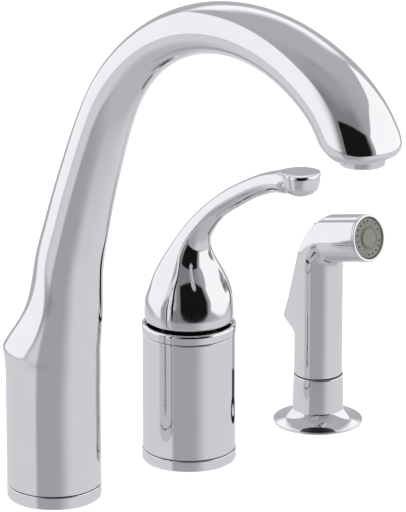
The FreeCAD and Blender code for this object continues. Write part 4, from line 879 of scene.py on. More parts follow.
class FAUCET_OT_spout(bpy.types.Operator):
    """Make the spout's shell with its heel, arch and nose"""
    bl_idname = "faucet.spout"
    bl_label = "Spout"

    def execute(self, context):
        sizes, edge = settings("spout"), settings("row").edge
        low = sizes.ring_height + sizes.seam
        body = eased_rows(body_rungs(sizes), 1.2 * MM)
        neck = cubic_rows(shoulder_rungs(sizes) + arch_rungs(sizes) + mouth_rungs(sizes),
                          1.5 * MM)
        ridge = len(body) - 1
        rows = body + neck[1:]
        rows[ridge] = 0.5 * rows[ridge] + 0.25 * (rows[ridge - 1] + rows[ridge + 1])
        inner = [round_row(0, sizes.shell_bore_top, sizes.shell_bore),
                 round_row(0, low, sizes.shell_bore),
                 round_row(0, low, sizes.base_radius - edge)]
        socket_depth = 9.5 * MM
        mouth, bore = sizes.mouth_reach, sizes.mouth_bore
        socket = [(mouth + bore, height, mouth - bore, height, bore)
                  for height in (sizes.mouth_height, sizes.mouth_height + socket_depth)]
        rows[0][[1, 3]] += edge
        shape = bmesh.new()
        skin_with_ends(shape, inner + rows + socket, station_matrix(SPOUT))
        finish_mesh("spout_chrome_shell", shape, "spout", ["spout_shell"], "chrome")
        return {"FINISHED"}


class FAUCET_OT_spout_trim(bpy.types.Operator):
    """Make the spout's base ring and the aerator in its mouth"""
    bl_idname = "faucet.spout_trim"
    bl_label = "Spout trim"

    def execute(self, context):
        spout, row = settings("spout"), settings("row")
        radius, top = spout.base_radius, spout.ring_height
        inner, bore, recess = radius - 1.7 * MM, 16.3 * MM, 20.6 * MM
        sole, step = 1.2 * MM, 6 * MM
        turned_piece("spout_ring_chrome", [
            (inner, 0), (radius, 0, 0.0006), (radius, top, 0.0005), (bore, top), (bore, step),
            (recess, step), (recess, sole), (inner, sole)],
            SPOUT, "deck_parts", ["spout_base_ring"], "chrome")
        mouth = at(0, spout.mouth_reach, spout.mouth_height)
        drop, grip, neck = -spout.aerator_drop, 8 * MM, 11.6 * MM
        lip_top = drop + 1.5 * MM
        turned_piece("aerator_chrome", [
            (spout.aerator_lip, drop, 0.0004), (spout.aerator_radius, drop, 0.0008),
            (spout.aerator_radius, -0.35 * MM, 0.0003), (spout.aerator_radius - 0.9 * MM, 0),
            (neck, 0), (neck, grip), (spout.aerator_bore, grip),
            (spout.aerator_bore, lip_top), (spout.aerator_lip, lip_top)],
            SPOUT, "spout", ["aerator_housing"], "chrome", place=mouth)
        shape = bmesh.new()
        plate = spout.aerator_bore - row.clearance
        lathe(shape, [(0, lip_top), (plate, lip_top), (plate, lip_top + 0.8 * MM),
                      (0, lip_top + 0.8 * MM)], Matrix(), 64)
        mesh = screen_holes_rule().run(
            plain_mesh(shape), finish("steel"), Field_radius=spout.aerator_lip - 0.9 * MM,
            Pitch=spout.mesh_pitch, Hole_radius=spout.mesh_hole, Depth=10 * MM)
        as_piece("aerator_mesh", crisp(mesh, station_matrix(SPOUT) @ mouth), "spout",
                 ["aerator_screen"], "steel")
        return {"FINISHED"}


# ---------------------------------------------------------------- valve


def dome_rungs(sizes):
    """Dome, neck and arm of the handle, into the pad."""
    radius, low, centre = sizes.dome_radius, sizes.dome_base, sizes.pivot_height
    rungs = []
    for share, inset in ((0.0, 1.2), (0.1, 0.5), (0.25, 0.1), (0.4, 0.0), (0.7, 0.05),
                         (1.0, 0.2)):
        height, half = low + (centre - low) * share, radius - inset * MM
        rungs.append(((-half, height), (half, height), half))
    for back_reach, back_height, front_reach, front_height, width in (
            (-25.95, 102.0, 26.4, 102.0, 26.4), (-24.4, 106.0, 25.8, 106.0, 25.8),
            (-21.4, 114.0, 22.4, 114.0, 23.6),
            (-17.8, 122.0, 17.8, 122.0, 19.8), (-13.3, 130.0, 14.2, 129.2, 15.6),
            (-7.8, 138.7, 13.3, 136.3, 12.1), (-1.0, 147.9, 15.3, 142.8, 9.8),
            (7.6, 157.4, 20.2, 150.0, 8.2), (18.6, 167.3, 27.6, 158.2, 7.2),
            (31.6, 177.0, 38.4, 166.0, 6.9), (46.8, 186.0, 51.2, 174.2, 6.9),
            (60.2, 192.6, 62.8, 180.0, 7.4), (70.5, 196.2, 73.0, 183.2, 8.4),
            (78.0, 198.2, 80.0, 184.0, 9.4), (84.0, 198.6, 86.0, 185.4, 9.0)):
        rungs.append((*in_mm((back_reach, back_height), (front_reach, front_height)),
                      width * MM))
    return rungs


def pad_outline(sizes, drop, scale):
    """A level outline of the thumb pad: round in front, and pointed and sagging towards the
    arm."""
    half = sizes.pad_tail
    middle = sizes.pad_reach + sizes.pad_radius - half
    widest, sag = 0.77, 15.0
    ring = []
    for step in range(RING_POINTS):
        turn = 2 * math.pi * step / RING_POINTS
        across = sizes.pad_radius / widest * math.sin(turn) * abs(math.sin(turn / 2))
        reach = sizes.pad_reach + (middle - half * math.cos(turn) - sizes.pad_reach) * scale
        sink = sag * max(0.0, sizes.pad_reach - 4 * MM - reach) ** 2
        ring.append((across * scale, -reach, sizes.pad_height - drop - sink))
    return ring


def add_pad(shape, sizes, matrix):
    """The thumb pad: a flat teardrop top with a crisp edge, upright sides and a round belly."""
    rings = [pad_outline(sizes, sizes.pad_depth * 1.25 * share, scale) for share, scale in (
        (0.0, 0.0), (0.0, 0.5), (0.0, 0.95), (0.004, 0.97), (0.02, 0.992), (0.05, 1.0), (0.2, 1.0),
        (0.4, 0.985), (0.6, 0.945), (0.77, 0.865), (0.9, 0.72), (0.97, 0.52), (0.995, 0.28),
        (1.0, 0.0))]
    rings[0], rings[-1] = rings[0][:1], rings[-1][:1]
    skin_rings(shape, rings, matrix)


class FAUCET_OT_handle(bpy.types.Operator):
    """Make the lever handle with its dome, arm and thumb pad"""
    bl_idname = "faucet.handle"
    bl_label = "Handle"

    def execute(self, context):
        sizes = settings("valve")
        rows = cubic_rows(dome_rungs(sizes), 1.0 * MM)
        heights = np.linspace(sizes.cavity_top, sizes.dome_base, 13)
        inner = [round_row(0, height, math.sqrt(sizes.dome_cavity ** 2
                                                - (height - sizes.pivot_height) ** 2))
                 for height in heights]
        shape = bmesh.new()
        skin_with_ends(shape, inner + rows, station_matrix(VALVE))
        add_pad(shape, sizes, station_matrix(VALVE))
        finish_mesh("handle_chrome", shape, "handle", ["handle"], "chrome")
        return {"FINISHED"}


class FAUCET_OT_valve(bpy.types.Operator):
    """Make the valve's base ring, cover and trim ring, black rubber seals between them that paint
    the shade in the seams, and a black boot and liner that paint the shade in the gap under the
    handle
    """
    bl_idname = "faucet.valve"
    bl_label = "Valve"

    def execute(self, context):
        valve, row = settings("valve"), settings("row")
        foot, land, seam = valve.ring_height, valve.land_radius, valve.seam
        bore = valve.cover_radius - 1.5 * MM
        inner = bore - row.clearance
        spigot = foot + seam + 3 * MM
        sole, step, groove, hole, recess = 1.2 * MM, 6 * MM, 26.3 * MM, 19.3 * MM, 24.3 * MM
        turned_piece("valve_ring_chrome", [
            (groove, 0), (valve.ring_radius, 0, 0.0006), (valve.ring_radius, foot, 0.0005),
            (land, foot), (land, foot + seam), (inner, foot + seam), (inner, spigot),
            (hole, spigot), (hole, step), (recess, step), (recess, sole), (groove, sole)],
            VALVE, "deck_parts", ["valve_base_ring"], "chrome")
        turned_piece("valve_cover_chrome", [
            (bore, foot + seam), (valve.cover_radius, foot + seam, 0.0005),
            (valve.cover_radius, valve.cover_top, 0.0005), (bore, valve.cover_top)],
            VALVE, "deck_parts", ["valve_cover"], "chrome")
        low, top = valve.cover_top, valve.trim_top
        lip, root, swell = land + 0.35 * MM, land - 0.1 * MM, 0.05 * MM
        # Painted shade: a black rubber seal in each seam stands for the shade in the groove
        # between the chrome pieces.
        for name, level in (("valve_foot_seam_shade", foot), ("valve_top_seam_shade", low)):
            turned_piece(name, [(root, level - swell), (lip, level), (lip, level + seam),
                                (root, level + seam + swell)],
                         VALVE, "deck_parts", [], "rubber", soft=0.0)
        neck, neck_foot, neck_top, mouth = 15.9 * MM, 70 * MM, 72.5 * MM, 24.9 * MM
        turned_piece("valve_trim_chrome", [
            (neck, neck_foot), (inner, neck_foot), (inner, low), (land, low),
            (land, low + seam), (valve.trim_radius, low + seam, 0.0005),
            (valve.trim_radius, top - 1.1 * MM, 0.0006),
            (valve.trim_radius - 0.7 * MM, top, 0.0005), (valve.trim_bore, top, 0.0006),
            (valve.trim_bore, top - 2.5 * MM), (mouth, top - 4 * MM), (mouth, neck_top),
            (neck, neck_top)],
            VALVE, "deck_parts", ["valve_trim_ring"], "chrome")
        # Painted shade: a black rubber boot round the stem and a black liner in the trim ring's
        # bore make the gap under the handle's dome show black.
        turned_piece("valve_gap_shade_boot", in_mm(
            (13.7, 79.1), (15.0, 79.1), (15.0, 82.2), (17.0, 84.1), (18.8, 86.4), (19.7, 88.0),
            (20.9, 91.5), (20.2, 91.5), (18.0, 86.6), (13.7, 82.8)),
            VALVE, "deck_parts", [], "rubber", soft=0.0002)
        turned_piece("valve_gap_shade_liner", in_mm(
            (24.4, 72.6), (24.85, 72.6), (24.85, 84.0), (24.4, 84.0)),
            VALVE, "deck_parts", [], "rubber", soft=0.0001)
        return {"FINISHED"}


# ---------------------------------------------------------------- hand spray


class FAUCET_OT_holder(bpy.types.Operator):
    """Make the spray's holder with its swept flange, and the liner in its cup"""
    bl_idname = "faucet.holder"
    bl_label = "Spray holder"

    def execute(self, context):
        spray, fixings, row = settings("spray"), settings("fixings"), settings("row")
        rim = (spray.holder_radius, spray.holder_rim)
        foot = (spray.cup_foot_radius, spray.cup_foot)
        core, bottom = fixings.holder_shank - fixings.thread_depth, -fixings.holder_shank_length
        inner, hole, floor = 25.3 * MM, 12.2 * MM, 9 * MM
        turned_piece("spray_holder_chrome", [
            (inner, 0), (spray.holder_radius, 0, 0.0003), rim + (0.0005,)]
            + sweep(rim, foot, spray.holder_sweep)
            + [foot + (0.0008,), (spray.cup_radius, spray.cup_top, 0.0006),
               (spray.cup_bore, spray.cup_top), (spray.cup_bore, floor), (hole, floor),
               (hole, bottom), (core, bottom), (core, -2 * MM),
               (fixings.holder_shank, -1.5 * MM), (fixings.holder_shank, MM), (inner, MM)],
            SPRAY, "deck_parts", ["spray_holder"], "chrome")
        outer, rim_radius = spray.cup_bore - row.clearance, spray.cup_radius - 0.3 * MM
        lining, top = outer - 1.1 * MM, spray.cup_top + spray.liner_rim
        turned_piece("holder_liner_black", [
            (lining, floor), (outer, floor), (outer, spray.cup_top),
            (rim_radius, spray.cup_top), (rim_radius, top), (lining, top)],
            SPRAY, "deck_parts", ["holder_liner"], "dark_plastic", soft=0.0001)
        return {"FINISHED"}


class SprayForm:
    """Distances that describe the hand spray, in its own frame: X across, Y away from the user.

    The web is the part of the grip that is drawn out behind towards the lever, the bend is where
    the lever turns over the barrel, and the nose is the lever's lower end."""

    BEND_OUT, BEND_UP = 4.46 * MM, 7.5 * MM
    # Slanted faces at the lever's bend and nose: their two shares and the length of both.
    BEND_SLANT, NOSE_SLANT = (4.7, 5.16, 6.98), (7.5, 9.0, 11.7)
    WEB_RISE, WEB_POWER = 12.5 * MM, 1.8
    WEB_SLOPE, WEB_PAST_NOSE = 8.5 * MM, 7 * MM
    GRIP_PAST_TOP, GRIP_SOFT = 7 * MM, 14 * MM
    HOOD_SOFT, STEP_WIDE, STEP_DEEP = 9 * MM, 1.8 * MM, 0.3 * MM
    CHANNEL_FOOT, CHAMBER_BACK = 56.0 * MM, 33 * MM
    # Reaches of the channel's floor and of the blade's inner face at a few heights.
    FLOOR_HEIGHTS = np.array([56.0, 77.5, 120.0, 140.0]) * MM
    FLOOR_REACHES = np.array([9.3, 10.4, -0.3, -6.0]) * MM
    BLADE_HEIGHTS = np.array([57.5, 77.5, 140.0]) * MM
    BLADE_REACHES = np.array([13.5, 13.7, -5.7]) * MM
    LEANING = 0.96
    HOLLOW_FOOT, HOLLOW_WALL = 60.0 * MM, 1.2 * MM
    CROWN_FOOT, EAR_INSIDE = 112.0 * MM, 7.0 * MM
    SHARP, CRISP, EASY = 0.4 * MM, 0.5 * MM, 1.6 * MM

    def __init__(self, sizes):
        self.sizes = sizes
        self.pin = (-sizes.pin_reach, sizes.barrel_height + sizes.pin_rise)
        self.bend = (self.pin[0] + self.BEND_OUT, self.pin[1] + self.BEND_UP)
        self.nose = (self.bend[0] + sizes.lever_spread, self.bend[1] - sizes.lever_fall)

    def barrel_frame(self, x, y, z):
        """Distance along the barrel's axis and out from it."""
        tilt, rise = self.sizes.barrel_tilt, z - self.sizes.barrel_height
        above = y * math.sin(tilt) + rise * math.cos(tilt)
        return -y * math.cos(tilt) + rise * math.sin(tilt), np.hypot(x, above)

    def boss(self, y, z, radius):
        """Distance to a round boss about the lever's pin."""
        return np.hypot(y - self.pin[0], z - self.pin[1]) - radius

    def behind_face(self, y, z):
        """Depth behind the lever's outer face."""
        lean, fall = self.sizes.lever_spread, self.sizes.lever_fall
        return ((self.nose[0] - y) * fall + (self.nose[1] - z) * lean) / math.hypot(lean, fall)

    def web(self, x, y, z):
        """The grip's round section, drawn out towards the lever above its foot."""
        radius, small = self.sizes.grip_radius, self.sizes.web_half
        foot = np.maximum(0.0, (z - self.sizes.web_foot) / self.WEB_RISE) ** self.WEB_POWER
        reach_out = np.minimum(radius + self.WEB_SLOPE * foot, self.nose[0] + self.WEB_PAST_NOSE)
        span = np.maximum(reach_out - small, radius - small + 0.05 * MM)
        side, lean = np.abs(x), (radius - small) / span
        rise = np.sqrt(1.0 - lean ** 2)
        along = y * rise - side * lean
        flank = side * rise + y * lean - radius
        back = np.hypot(side, y - span) - small
        return np.where(along < 0, np.hypot(side, y) - radius,
                        np.where(along > rise * span, back, flank))

    def barrel(self, x, y, z):
        """The barrel, closed behind by a ball."""
        sizes = self.sizes
        along, out = self.barrel_frame(x, y, z)
        tail = np.minimum(along - sizes.barrel_back, 0.0)
        return bounded(np.hypot(out, tail) - sizes.barrel_radius, along - sizes.barrel_end,
                       soft=self.CRISP)

    def bend_cut(self, y, z):
        """Distance past the slanted face over the lever's bend."""
        away, up, span = self.BEND_SLANT
        return ((y - self.bend[0]) * away + (z - self.bend[1]) * up) / span

    def body(self, x, y, z):
        """Grip and barrel, less the lever's channel and the chamber behind the spray face."""
        sizes = self.sizes
        hood = bounded(y + sizes.hood_front, z - sizes.hood_arch, soft=self.HOOD_SOFT)
        share = np.clip(0.5 - hood / self.STEP_WIDE, 0.0, 1.0)
        step = self.STEP_DEEP * share ** 2 * (3.0 - 2.0 * share)
        grip = bounded(self.web(x, y, z) + step, z - sizes.grip_top - self.GRIP_PAST_TOP,
                       soft=self.GRIP_SOFT)
        grip = bounded(grip, sizes.cup_top + sizes.liner_rim - z, soft=0.8 * MM)
        whole = joined(grip, self.barrel(x, y, z), soft=sizes.fillet)
        back = bounded(sizes.web_inset - self.behind_face(y, z), self.bend_cut(y, z) + MM,
                       soft=sizes.bend_round)
        whole = bounded(whole, back, soft=self.EASY)
        floor = np.interp(z, self.FLOOR_HEIGHTS, self.FLOOR_REACHES)
        sides = np.abs(x) - sizes.lever_half_width - sizes.part_gap
        channel = bounded(sides, self.CHANNEL_FOOT - z, self.LEANING * (floor - y),
                          soft=self.CRISP)
        ears = bounded(self.boss(y, z, 3.5 * MM), sides, soft=self.CRISP)
        along, out = self.barrel_frame(x, y, z)
        chamber = np.maximum(out - sizes.face_radius - 0.1 * MM, self.CHAMBER_BACK - along)
        return bounded(whole, -channel, -ears, -chamber, soft=self.CRISP)

    def lever(self, x, y, z):
        """A hollow blade down the grip's back, with two ears on the pin."""
        sizes, depth = self.sizes, self.behind_face(y, z)
        sides = np.abs(x) - sizes.lever_half_width
        inner = np.interp(z, self.BLADE_HEIGHTS, self.BLADE_REACHES)
        away, down, span = self.NOSE_SLANT
        under = ((y - self.nose[0]) * away - (z - self.nose[1]) * down) / span
        crown = joined(self.barrel_frame(x, y, z)[1] - sizes.barrel_radius,
                       z - self.CROWN_FOOT, soft=1.5 * MM)
        outside = bounded(-depth, self.bend_cut(y, z), soft=sizes.bend_round + 1.5 * MM)
        outside = bounded(outside, under, soft=2.2 * MM)
        whole = bounded(outside, self.LEANING * (inner - y), crown, sides, soft=0.9 * MM)
        hollow = bounded(sizes.lever_plate - depth, sides + self.HOLLOW_WALL,
                         self.HOLLOW_FOOT - z, z - self.pin[1] - 2.0 * MM, soft=self.SHARP)
        whole = bounded(whole, -hollow, soft=self.SHARP)
        ears = bounded(self.boss(y, z, 3.2 * MM), sides, self.EAR_INSIDE - np.abs(x),
                       soft=self.SHARP)
        return joined(whole, ears, soft=self.SHARP)


class FAUCET_OT_spray(bpy.types.Operator):
    """Make the hand spray's body with its plug, its bezel, face, raised centre and lever"""
    bl_idname = "faucet.spray"
    bl_label = "Hand spray"

    def execute(self, context):
        spray = settings("spray")
        form = SprayForm(spray)
        edge, low = 2 * MM, spray.cup_top + spray.liner_rim
        for name, shape_at, half, front, bottom, top, cell, body, node in (
                ("spray_body_chrome", form.body, spray.grip_radius, -45 * MM, low - edge,
                 145 * MM, 0.5 * MM, "handset", "spray_body"),
                ("spray_lever_chrome", form.lever, spray.lever_half_width, -9 * MM, 52 * MM,
                 138 * MM, 0.45 * MM, "lever", "spray_lever")):
            skinned_piece(name, shape_at, (-half - edge, front, bottom),
                          (half + edge, form.nose[0] + edge, top), cell, SPRAY, body, [node],
                          "chrome")
        stem, plug, seat = 6.2 * MM, 12.15 * MM, 13 * MM
        turned_piece("spray_plug_stem", [
            (0, MM), (stem, MM), (stem, seat), (plug, seat), (plug, low + 0.5 * MM),
            (0, low + 0.5 * MM)], SPRAY, "handset", [], "chrome")
        barrel = at(0, 0, spray.barrel_height) @ Matrix.Rotation(
            math.pi / 2 - spray.barrel_tilt, 4, "X")
        bore = spray.face_radius + 0.05 * MM
        turned_piece("spray_bezel_chrome", [
            (bore, spray.barrel_end), (spray.barrel_radius, spray.barrel_end),
            (spray.barrel_radius, spray.bezel_end, 0.0007),
            (bore + 0.2 * MM, spray.bezel_end, 0.0003), (bore, spray.bezel_end - 0.3 * MM)],
            SPRAY, "handset", ["spray_bezel"], "chrome", place=barrel)
        back, front = 36 * MM, spray.face_front
        shape = bmesh.new()
        lathe(shape, [(0, back), (spray.face_radius, back), (spray.face_radius, front - 0.9 * MM),
                      (spray.face_radius - 0.9 * MM, front), (7.6 * MM, front),
                      (7.2 * MM, front - 0.35 * MM), (0, front - 0.35 * MM)], Matrix(), 96)
        mesh = ring_holes_rule().run(
            plain_mesh(shape), finish("grey_plastic"), Ring_radius=spray.jet_ring,
            Count=spray.jet_count, Hole_radius=spray.jet_radius, Depth=0.1)
        as_piece("spray_face_plate", crisp(mesh, station_matrix(SPRAY) @ barrel), "handset",
                 ["spray_face"], "grey_plastic")
        top = front + spray.button_proud
        turned_piece("spray_centre_button", [
            (0, front - 0.4 * MM), (spray.button_radius, front - 0.4 * MM),
            (spray.button_radius, top, 0.0006), (spray.button_radius * 0.5, top + 0.12 * MM),
            (0, top + 0.15 * MM)],
            SPRAY, "handset", ["spray_button"], "grey_plastic", place=barrel)
        return {"FINISHED"}


# ---------------------------------------------------------------- fixings under the deck


def hex_nut(shape, station, flats, bore, top, tall):
    """A six-sided nut with both its ends chamfered."""
    count, half = 120, flats / 2.0
    chamfer = half * 1.01
    sides = []
    for end, way in ((top, -1.0), (top - tall, 1.0)):
        outer = []
        for step in range(count):
            angle = 2 * math.pi * step / count
            off = (angle + math.pi / 6) % (math.pi / 3) - math.pi / 6
            reach = half / math.cos(off)
            sink = max(0.0, reach - chamfer) * math.tan(math.radians(30))
            outer.append((reach * math.cos(angle), reach * math.sin(angle), end + way * sink))
        flat = [(x * min(1.0, chamfer / math.hypot(x, y)),
                 y * min(1.0, chamfer / math.hypot(x, y)), end) for x, y, _ in outer]
        sides.append([circle(bore, end, count), flat, outer])
    upper, lower = sides
    matrix = Matrix.Translation((station * settings("row").hole_pitch, 0, 0))
    skin_rings(shape, upper + lower[::-1] + upper[:1], matrix)
    bmesh.ops.remove_doubles(shape, verts=shape.verts, dist=ON_AXIS)


def thread_piece(name, station, crest, foot, span, pitch, body, slot, place=None):
    """A helical thread ridge from its foot upwards."""
    mesh = thread_rule().run(bpy.data.meshes.new("start"), finish(slot), Crest_radius=crest,
                             Length=span, Pitch=pitch, Depth=settings("fixings").thread_depth)
    matrix = station_matrix(station) @ (place or Matrix()) @ at(0, 0, foot)
    as_piece(name, crisp(mesh, matrix, THREAD_ANGLE), body, [], slot)


class FAUCET_OT_fixings(bpy.types.Operator):
    """Make the threaded shanks, nuts and supply tubes under the deck, with room left for the
    washers
    """
    bl_idname = "faucet.fixings"
    bl_label = "Fixings"

    def execute(self, context):
        fixings, row = settings("fixings"), settings("row")
        foot, depth = -fixings.shank_length, fixings.thread_depth
        core, crest = fixings.shank_radius - depth, fixings.shank_radius
        under = -fixings.deck_thickness
        nut_top = under - fixings.washer_thick
        shank = [(0, foot), (core, foot), (core, -3 * MM), (crest, -2.4 * MM), (crest, 1.2 * MM)]
        post = in_mm((20.3, 1.2), (20.3, 5.7), (16, 5.7), (16, 23.9), (15, 24), (15, 28.4),
                     (16, 28.5), (16, 33.9), (15, 34), (15, 38.4), (16, 38.5), (16, 57),
                     (14.6, 57), (14.6, 58.55), (16, 58.55), (16, 62), (0, 62))
        valve = in_mm((24, 1.2), (24, 5.9), (19, 5.9), (19, 70), (15.6, 70), (15.6, 75),
                      (13.6, 75), (13.6, 64), (0, 64))
        for name, above, station, node in (("spout_post_brass", post, SPOUT, "spout_post"),
                                           ("valve_core_brass", valve, VALVE, "valve_body")):
            turned_piece(name, shank + above, station, "deck_parts", [node], "brass")
        for name, station in (("spout", SPOUT), ("valve", VALVE)):
            thread_piece(name + "_shank_thread", station, crest, foot + MM,
                         fixings.shank_length - 5 * MM, fixings.shank_pitch, "deck_parts",
                         "brass")
        thread_piece("holder_shank_thread", SPRAY, fixings.holder_shank,
                     MM - fixings.holder_shank_length, fixings.holder_shank_length - 4 * MM,
                     fixings.shank_pitch, "deck_parts", "chrome")
        shape = bmesh.new()
        for station in (SPOUT, VALVE):
            hex_nut(shape, station, fixings.nut_flats, crest + row.clearance, nut_top,
                    fixings.nut_height)
        finish_mesh("deck_hex_nuts", shape, "deck_parts", ["deck_nuts"], "brass", NUT_ANGLE)
        shape = bmesh.new()
        hex_nut(shape, SPRAY, fixings.holder_nut_flats, fixings.holder_shank + row.clearance,
                nut_top, fixings.holder_nut_height)
        finish_mesh("holder_hex_nut", shape, "deck_parts", ["holder_nut"], "dark_plastic",
                    NUT_ANGLE)
        ports = {"outlet": (VALVE, 0.0, 8.5), "hot": (VALVE, -7.361, -4.25),
                 "cold": (VALVE, 7.361, -4.25), "spout_inlet": (SPOUT, -3.5, 0.0)}
        outer, inner = fixings.tube_radius, fixings.tube_radius - fixings.tube_wall
        end, spigot, socket = foot - fixings.tube_drop, 4.4 * MM, foot + 16 * MM
        for port, (station, across, reach) in ports.items():
            turned_piece(port + "_tube_copper", [
                (inner, end), (outer, end, 0.0004), (outer, foot), (spigot, foot),
                (spigot, socket), (inner, socket)], station, "deck_parts", [port + "_tube"],
                "copper", place=at(across * MM, reach * MM))
        below = fixings.shank_length / MM
        nipple = at(9.5 * MM)
        turned_piece("spray_nipple_brass", in_mm(*((radius, rise - below) for radius, rise in (
            (2.6, -19), (4.6, -19), (4.6, -4), (5.6, -4), (5.6, 0), (4.2, 0), (4.2, 10),
            (2.6, 10)))), SPOUT, "deck_parts", ["spray_feed_nipple"], "brass", place=nipple)
        thread_piece("spray_nipple_thread", SPOUT, 5.14 * MM, foot - 18.4 * MM, 13.6 * MM,
                     MM, "deck_parts", "brass", nipple)
        turned_piece("hose_coupling_brass", in_mm(
            (3.5, -11), (6.0, -11), (6.0, -2), (9.2, -2), (9.2, 12.7, 0.8), (6.25, 12.7),
            (6.25, 5.7), (7.9, 5.7), (7.9, 4.5), (6.25, 4.5), (6.25, 0), (3.5, 0)),
            SPRAY, "coupling", ["hose_coupling"], "brass")
        thread_piece("hose_coupling_thread", SPRAY, 6.6 * MM, -10.3 * MM, 7.6 * MM, 1.2 * MM,
                     "coupling", "brass")
        return {"FINISHED"}


# ---------------------------------------------------------------- carried-over pieces


class FAUCET_OT_finishes(bpy.types.Operator):
    """Give every piece of the frame that stays its own finish"""
    bl_idname = "faucet.finishes"
    bl_label = "Finishes"

    def execute(self, context):
        for part in frame["record"]["subparts"]:
            node = frame["nodes"][part["node"]]
            node.data.materials.clear()
            node.data.materials.append(finish(part["material_slot"]))
            hide_from_mirrors(node)
        return {"FINISHED"}


# ---------------------------------------------------------------- stage


def camera_axes(studio):
    turn, rise = studio.view_turn, studio.view_rise
    back = Vector((math.sin(turn) * math.cos(rise), -math.cos(turn) * math.cos(rise),
                   math.sin(rise)))
    right = Vector((math.cos(turn), math.sin(turn), 0))
    return right, back.cross(right), back


def wall_panel(graph, parts, facing, left, right, high, soft):
    """Where a flat upright panel one unit away is seen. The angle it faces goes to the picture's
    right from the camera's direction. Left, right and high are distances on the panel, and soft
    is how much its left and its right edge fade."""
    across, toward, rise = parts
    turn = math.radians(facing)
    ahead = graph.sum("ADD", graph.sum("MULTIPLY", across, math.sin(turn)),
                      graph.sum("MULTIPLY", toward, math.cos(turn)))
    side = graph.sum("SUBTRACT", graph.sum("MULTIPLY", across, math.cos(turn)),
                     graph.sum("MULTIPLY", toward, math.sin(turn)))
    depth = graph.sum("MAXIMUM", ahead, 0.02)
    whole = graph.band(ahead, 0.02, 0.06)
    foot, crisp_edge = -0.275, 0.02
    for value, start, end, first, last in ((side, left, right, *soft),
                                           (rise, foot, high, crisp_edge, crisp_edge)):
        value = graph.sum("DIVIDE", value, depth)
        whole = graph.sum("MULTIPLY", whole, graph.band(value, start - first, start + first))
        whole = graph.sum("MULTIPLY", whole, graph.band(value, end - last, end + last, 1, 0))
    return whole


def grey(level, cool=1.0):
    return (level, level, level * cool, 1.0)


def studio_world(studio):
    """What the plate mirrors: two white panels at the sides, a dark one round the camera, a grey
    ceiling that is darker above the camera, a pale table that is darker in front and far down,
    and a bright strip high up on the far side. Other rays meet plain greys."""
    world = bpy.data.worlds.new("studio")
    bpy.context.scene.world = world
    world.use_nodes = True
    graph = Graph(world.node_tree)
    place = graph.add("TexCoord").outputs["Generated"]
    turned = graph.add("VectorRotate", {"rotation_type": "Z_AXIS"}, Angle=-studio.view_turn,
                       Vector=place)
    across, away, rise = graph.add("SeparateXYZ", Vector=turned.outputs[0]).outputs
    toward = graph.sum("MULTIPLY", away, -1.0)
    bearing = graph.sum("ARCTAN2", across, toward)
    side = graph.sum("ABSOLUTE", bearing)

    def turn_band(value, low, high, *ends):
        return graph.band(value, math.radians(low), math.radians(high), *ends)

    def rise_band(low, high, *ends):
        return graph.band(rise, math.sin(math.radians(low)), math.sin(math.radians(high)), *ends)

    def both(first, second):
        return graph.sum("MULTIPLY", first, second)

    ceiling = graph.blend(turn_band(side, 35, 110), grey(0.40, 1.05), grey(0.50, 1.05))
    ceiling = graph.blend(both(turn_band(side, 30, 60, 1, 0), rise_band(44, 72, 1, 0)), ceiling,
                          grey(0.245, 1.06))
    table = graph.blend(both(turn_band(bearing, -46, -37), turn_band(bearing, 8, 50, 1, 0)),
                        grey(0.74, 1.04), grey(0.42, 1.06))
    table = graph.blend(rise_band(-62, -34, 1, 0), table, grey(0.55, 1.06))
    room = graph.blend(rise_band(-18, -14), table, ceiling)
    strip = both(turn_band(side, 146, 156), both(rise_band(20, 29), rise_band(34, 50, 1, 0)))
    room = graph.blend(strip, room, grey(1.15))
    for facing, left, right, high, soft, colour in (
            (-85, -2.3, 1.0, 1.12, (0.05, 0.55), grey(1.07, 1.035)),
            (103, -0.95, 0.95, 0.80, (0.03, 0.03), grey(1.15, 1.01)),
            (15, -0.75, 0.72, 0.80, (0.02, 0.14), grey(0.008))):
        panel = wall_panel(graph, (across, toward, rise), facing, left, right, high, soft)
        room = graph.blend(panel, room, colour)
    glossy = graph.add("Background", Color=room, Strength=1.0)
    plain = graph.add("Background", Color=(0.9, 0.9, 0.91, 1.0), Strength=0.75)
    white = graph.add("Background", Color=(1.0, 1.0, 1.0, 1.0), Strength=1.0)
    rays = graph.add("LightPath").outputs
    seen = graph.sum("MAXIMUM", rays["Is Camera Ray"], rays["Is Transmission Ray"])
    shown = graph.mixed(seen, graph.mixed(rays["Is Glossy Ray"], plain, glossy), white)
    graph.add("OutputWorld", Surface=shown.outputs[0])


def floor_material():
    """White where the camera looks at it, apart from the object's soft shadow."""
    material = bpy.data.materials.new("deck_white")
    material.use_nodes = True
    graph = Graph(material.node_tree)
    matt = graph.add("BsdfDiffuse", Color=(0.86, 0.86, 0.87, 1.0))
    lift = graph.add("Emission", Color=(1.0, 1.0, 1.0, 1.0), Strength=0.55)
    both = graph.add("AddShader", None, matt.outputs[0], lift.outputs[0])
    camera_ray = graph.add("LightPath").outputs["Is Camera Ray"]
    graph.add("OutputMaterial", Surface=graph.mixed(camera_ray, matt, both).outputs[0])
    return material


def area_lamp(name, place, target, size, power):
    """A square soft lamp that looks at a target and isn't seen in mirrors."""
    lamp = bpy.data.lights.new(name, "AREA")
    lamp.shape = "SQUARE"
    lamp.size = size
    lamp.energy = power
    holder = bpy.data.objects.new(name, lamp)
    holder.location = place
    holder.rotation_euler = (target - place).to_track_quat("-Z", "Y").to_euler()
    holder.visible_glossy = False
    bpy.context.scene.collection.objects.link(holder)


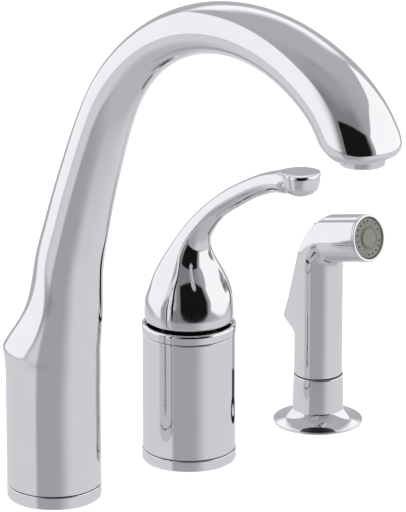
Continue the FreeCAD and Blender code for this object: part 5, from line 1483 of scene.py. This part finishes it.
class FAUCET_OT_stage(bpy.types.Operator):
    """Set the deck plane, the soft lamps, the surroundings and the camera"""
    bl_idname = "faucet.stage"
    bl_label = "Stage"

    def execute(self, context):
        scene, studio = context.scene, settings("studio")
        scene.view_settings.view_transform = "Standard"
        mesh = bpy.data.meshes.new("deck_plane")
        corners = ((-1, -1), (1, -1), (1, 1), (-1, 1))
        mesh.from_pydata([(x * DECK_HALF, y * DECK_HALF, 0) for x, y in corners], [],
                         [(0, 1, 2, 3)])
        mesh.materials.append(floor_material())
        floor = bpy.data.objects.new("deck_plane", mesh)
        floor.visible_glossy = False
        scene.collection.objects.link(floor)
        studio_world(studio)
        right, up, back = camera_axes(studio)
        target = Vector((0.1, -0.05, 0.12))
        for name, aside, near, rise, size, power in (
                ("left_softbox", -1.5, 0.9, 1.1, 1.4, 16.0),
                ("right_softbox", 1.6, 0.5, 0.9, 1.2, 9.0)):
            place = target + right * aside + back * near + Vector((0, 0, rise))
            area_lamp(name, place, target, size, power)
        camera = bpy.data.objects.new("camera", bpy.data.cameras.new("camera"))
        scene.collection.objects.link(camera)
        scene.camera = camera
        spot = back * studio.distance + right * studio.aim_right + up * studio.aim_up
        turn = Matrix((right, up, back)).transposed().to_4x4()
        camera.matrix_world = Matrix.Translation(spot) @ turn
        camera.data.sensor_fit = "VERTICAL"
        camera.data.sensor_height = SENSOR
        camera.data.lens = SENSOR * studio.focal_pixels / studio.frame_height
        camera.data.clip_end = 50.0
        return {"FINISHED"}


# ---------------------------------------------------------------- add-on


class FAUCET_PT_panel(bpy.types.Panel):
    """Lists the steps that dress the faucet"""
    bl_idname = "FAUCET_PT_panel"
    bl_label = "Faucet"
    bl_space_type = "VIEW_3D"
    bl_region_type = "UI"
    bl_category = "Faucet"

    def draw(self, context):
        for step in STEPS:
            self.layout.operator(step.bl_idname)


GROUPS = {"row": FaucetRow, "spout": SpoutSizes, "valve": ValveSizes, "spray": SpraySizes,
          "fixings": FixingSizes, "colours": FinishColours, "studio": StudioSettings}
STEPS = (FAUCET_OT_finishes, FAUCET_OT_spout, FAUCET_OT_spout_trim, FAUCET_OT_handle,
         FAUCET_OT_valve, FAUCET_OT_holder, FAUCET_OT_spray, FAUCET_OT_fixings, FAUCET_OT_stage)


def register():
    for name, group in GROUPS.items():
        bpy.utils.register_class(group)
        setattr(bpy.types.Scene, "faucet_" + name, PointerProperty(type=group))
    for step in STEPS + (FAUCET_PT_panel,):
        bpy.utils.register_class(step)


def unregister():
    for step in (FAUCET_PT_panel,) + STEPS:
        bpy.utils.unregister_class(step)
    for name, group in GROUPS.items():
        delattr(bpy.types.Scene, "faucet_" + name)
        bpy.utils.unregister_class(group)


def main():
    register()
    for step in STEPS:
        group, name = step.bl_idname.split(".")
        if getattr(getattr(bpy.ops, group), name)() != {"FINISHED"}:
            raise RuntimeError(step.bl_label + " didn't finish")


if __name__ == "__main__":
    main()
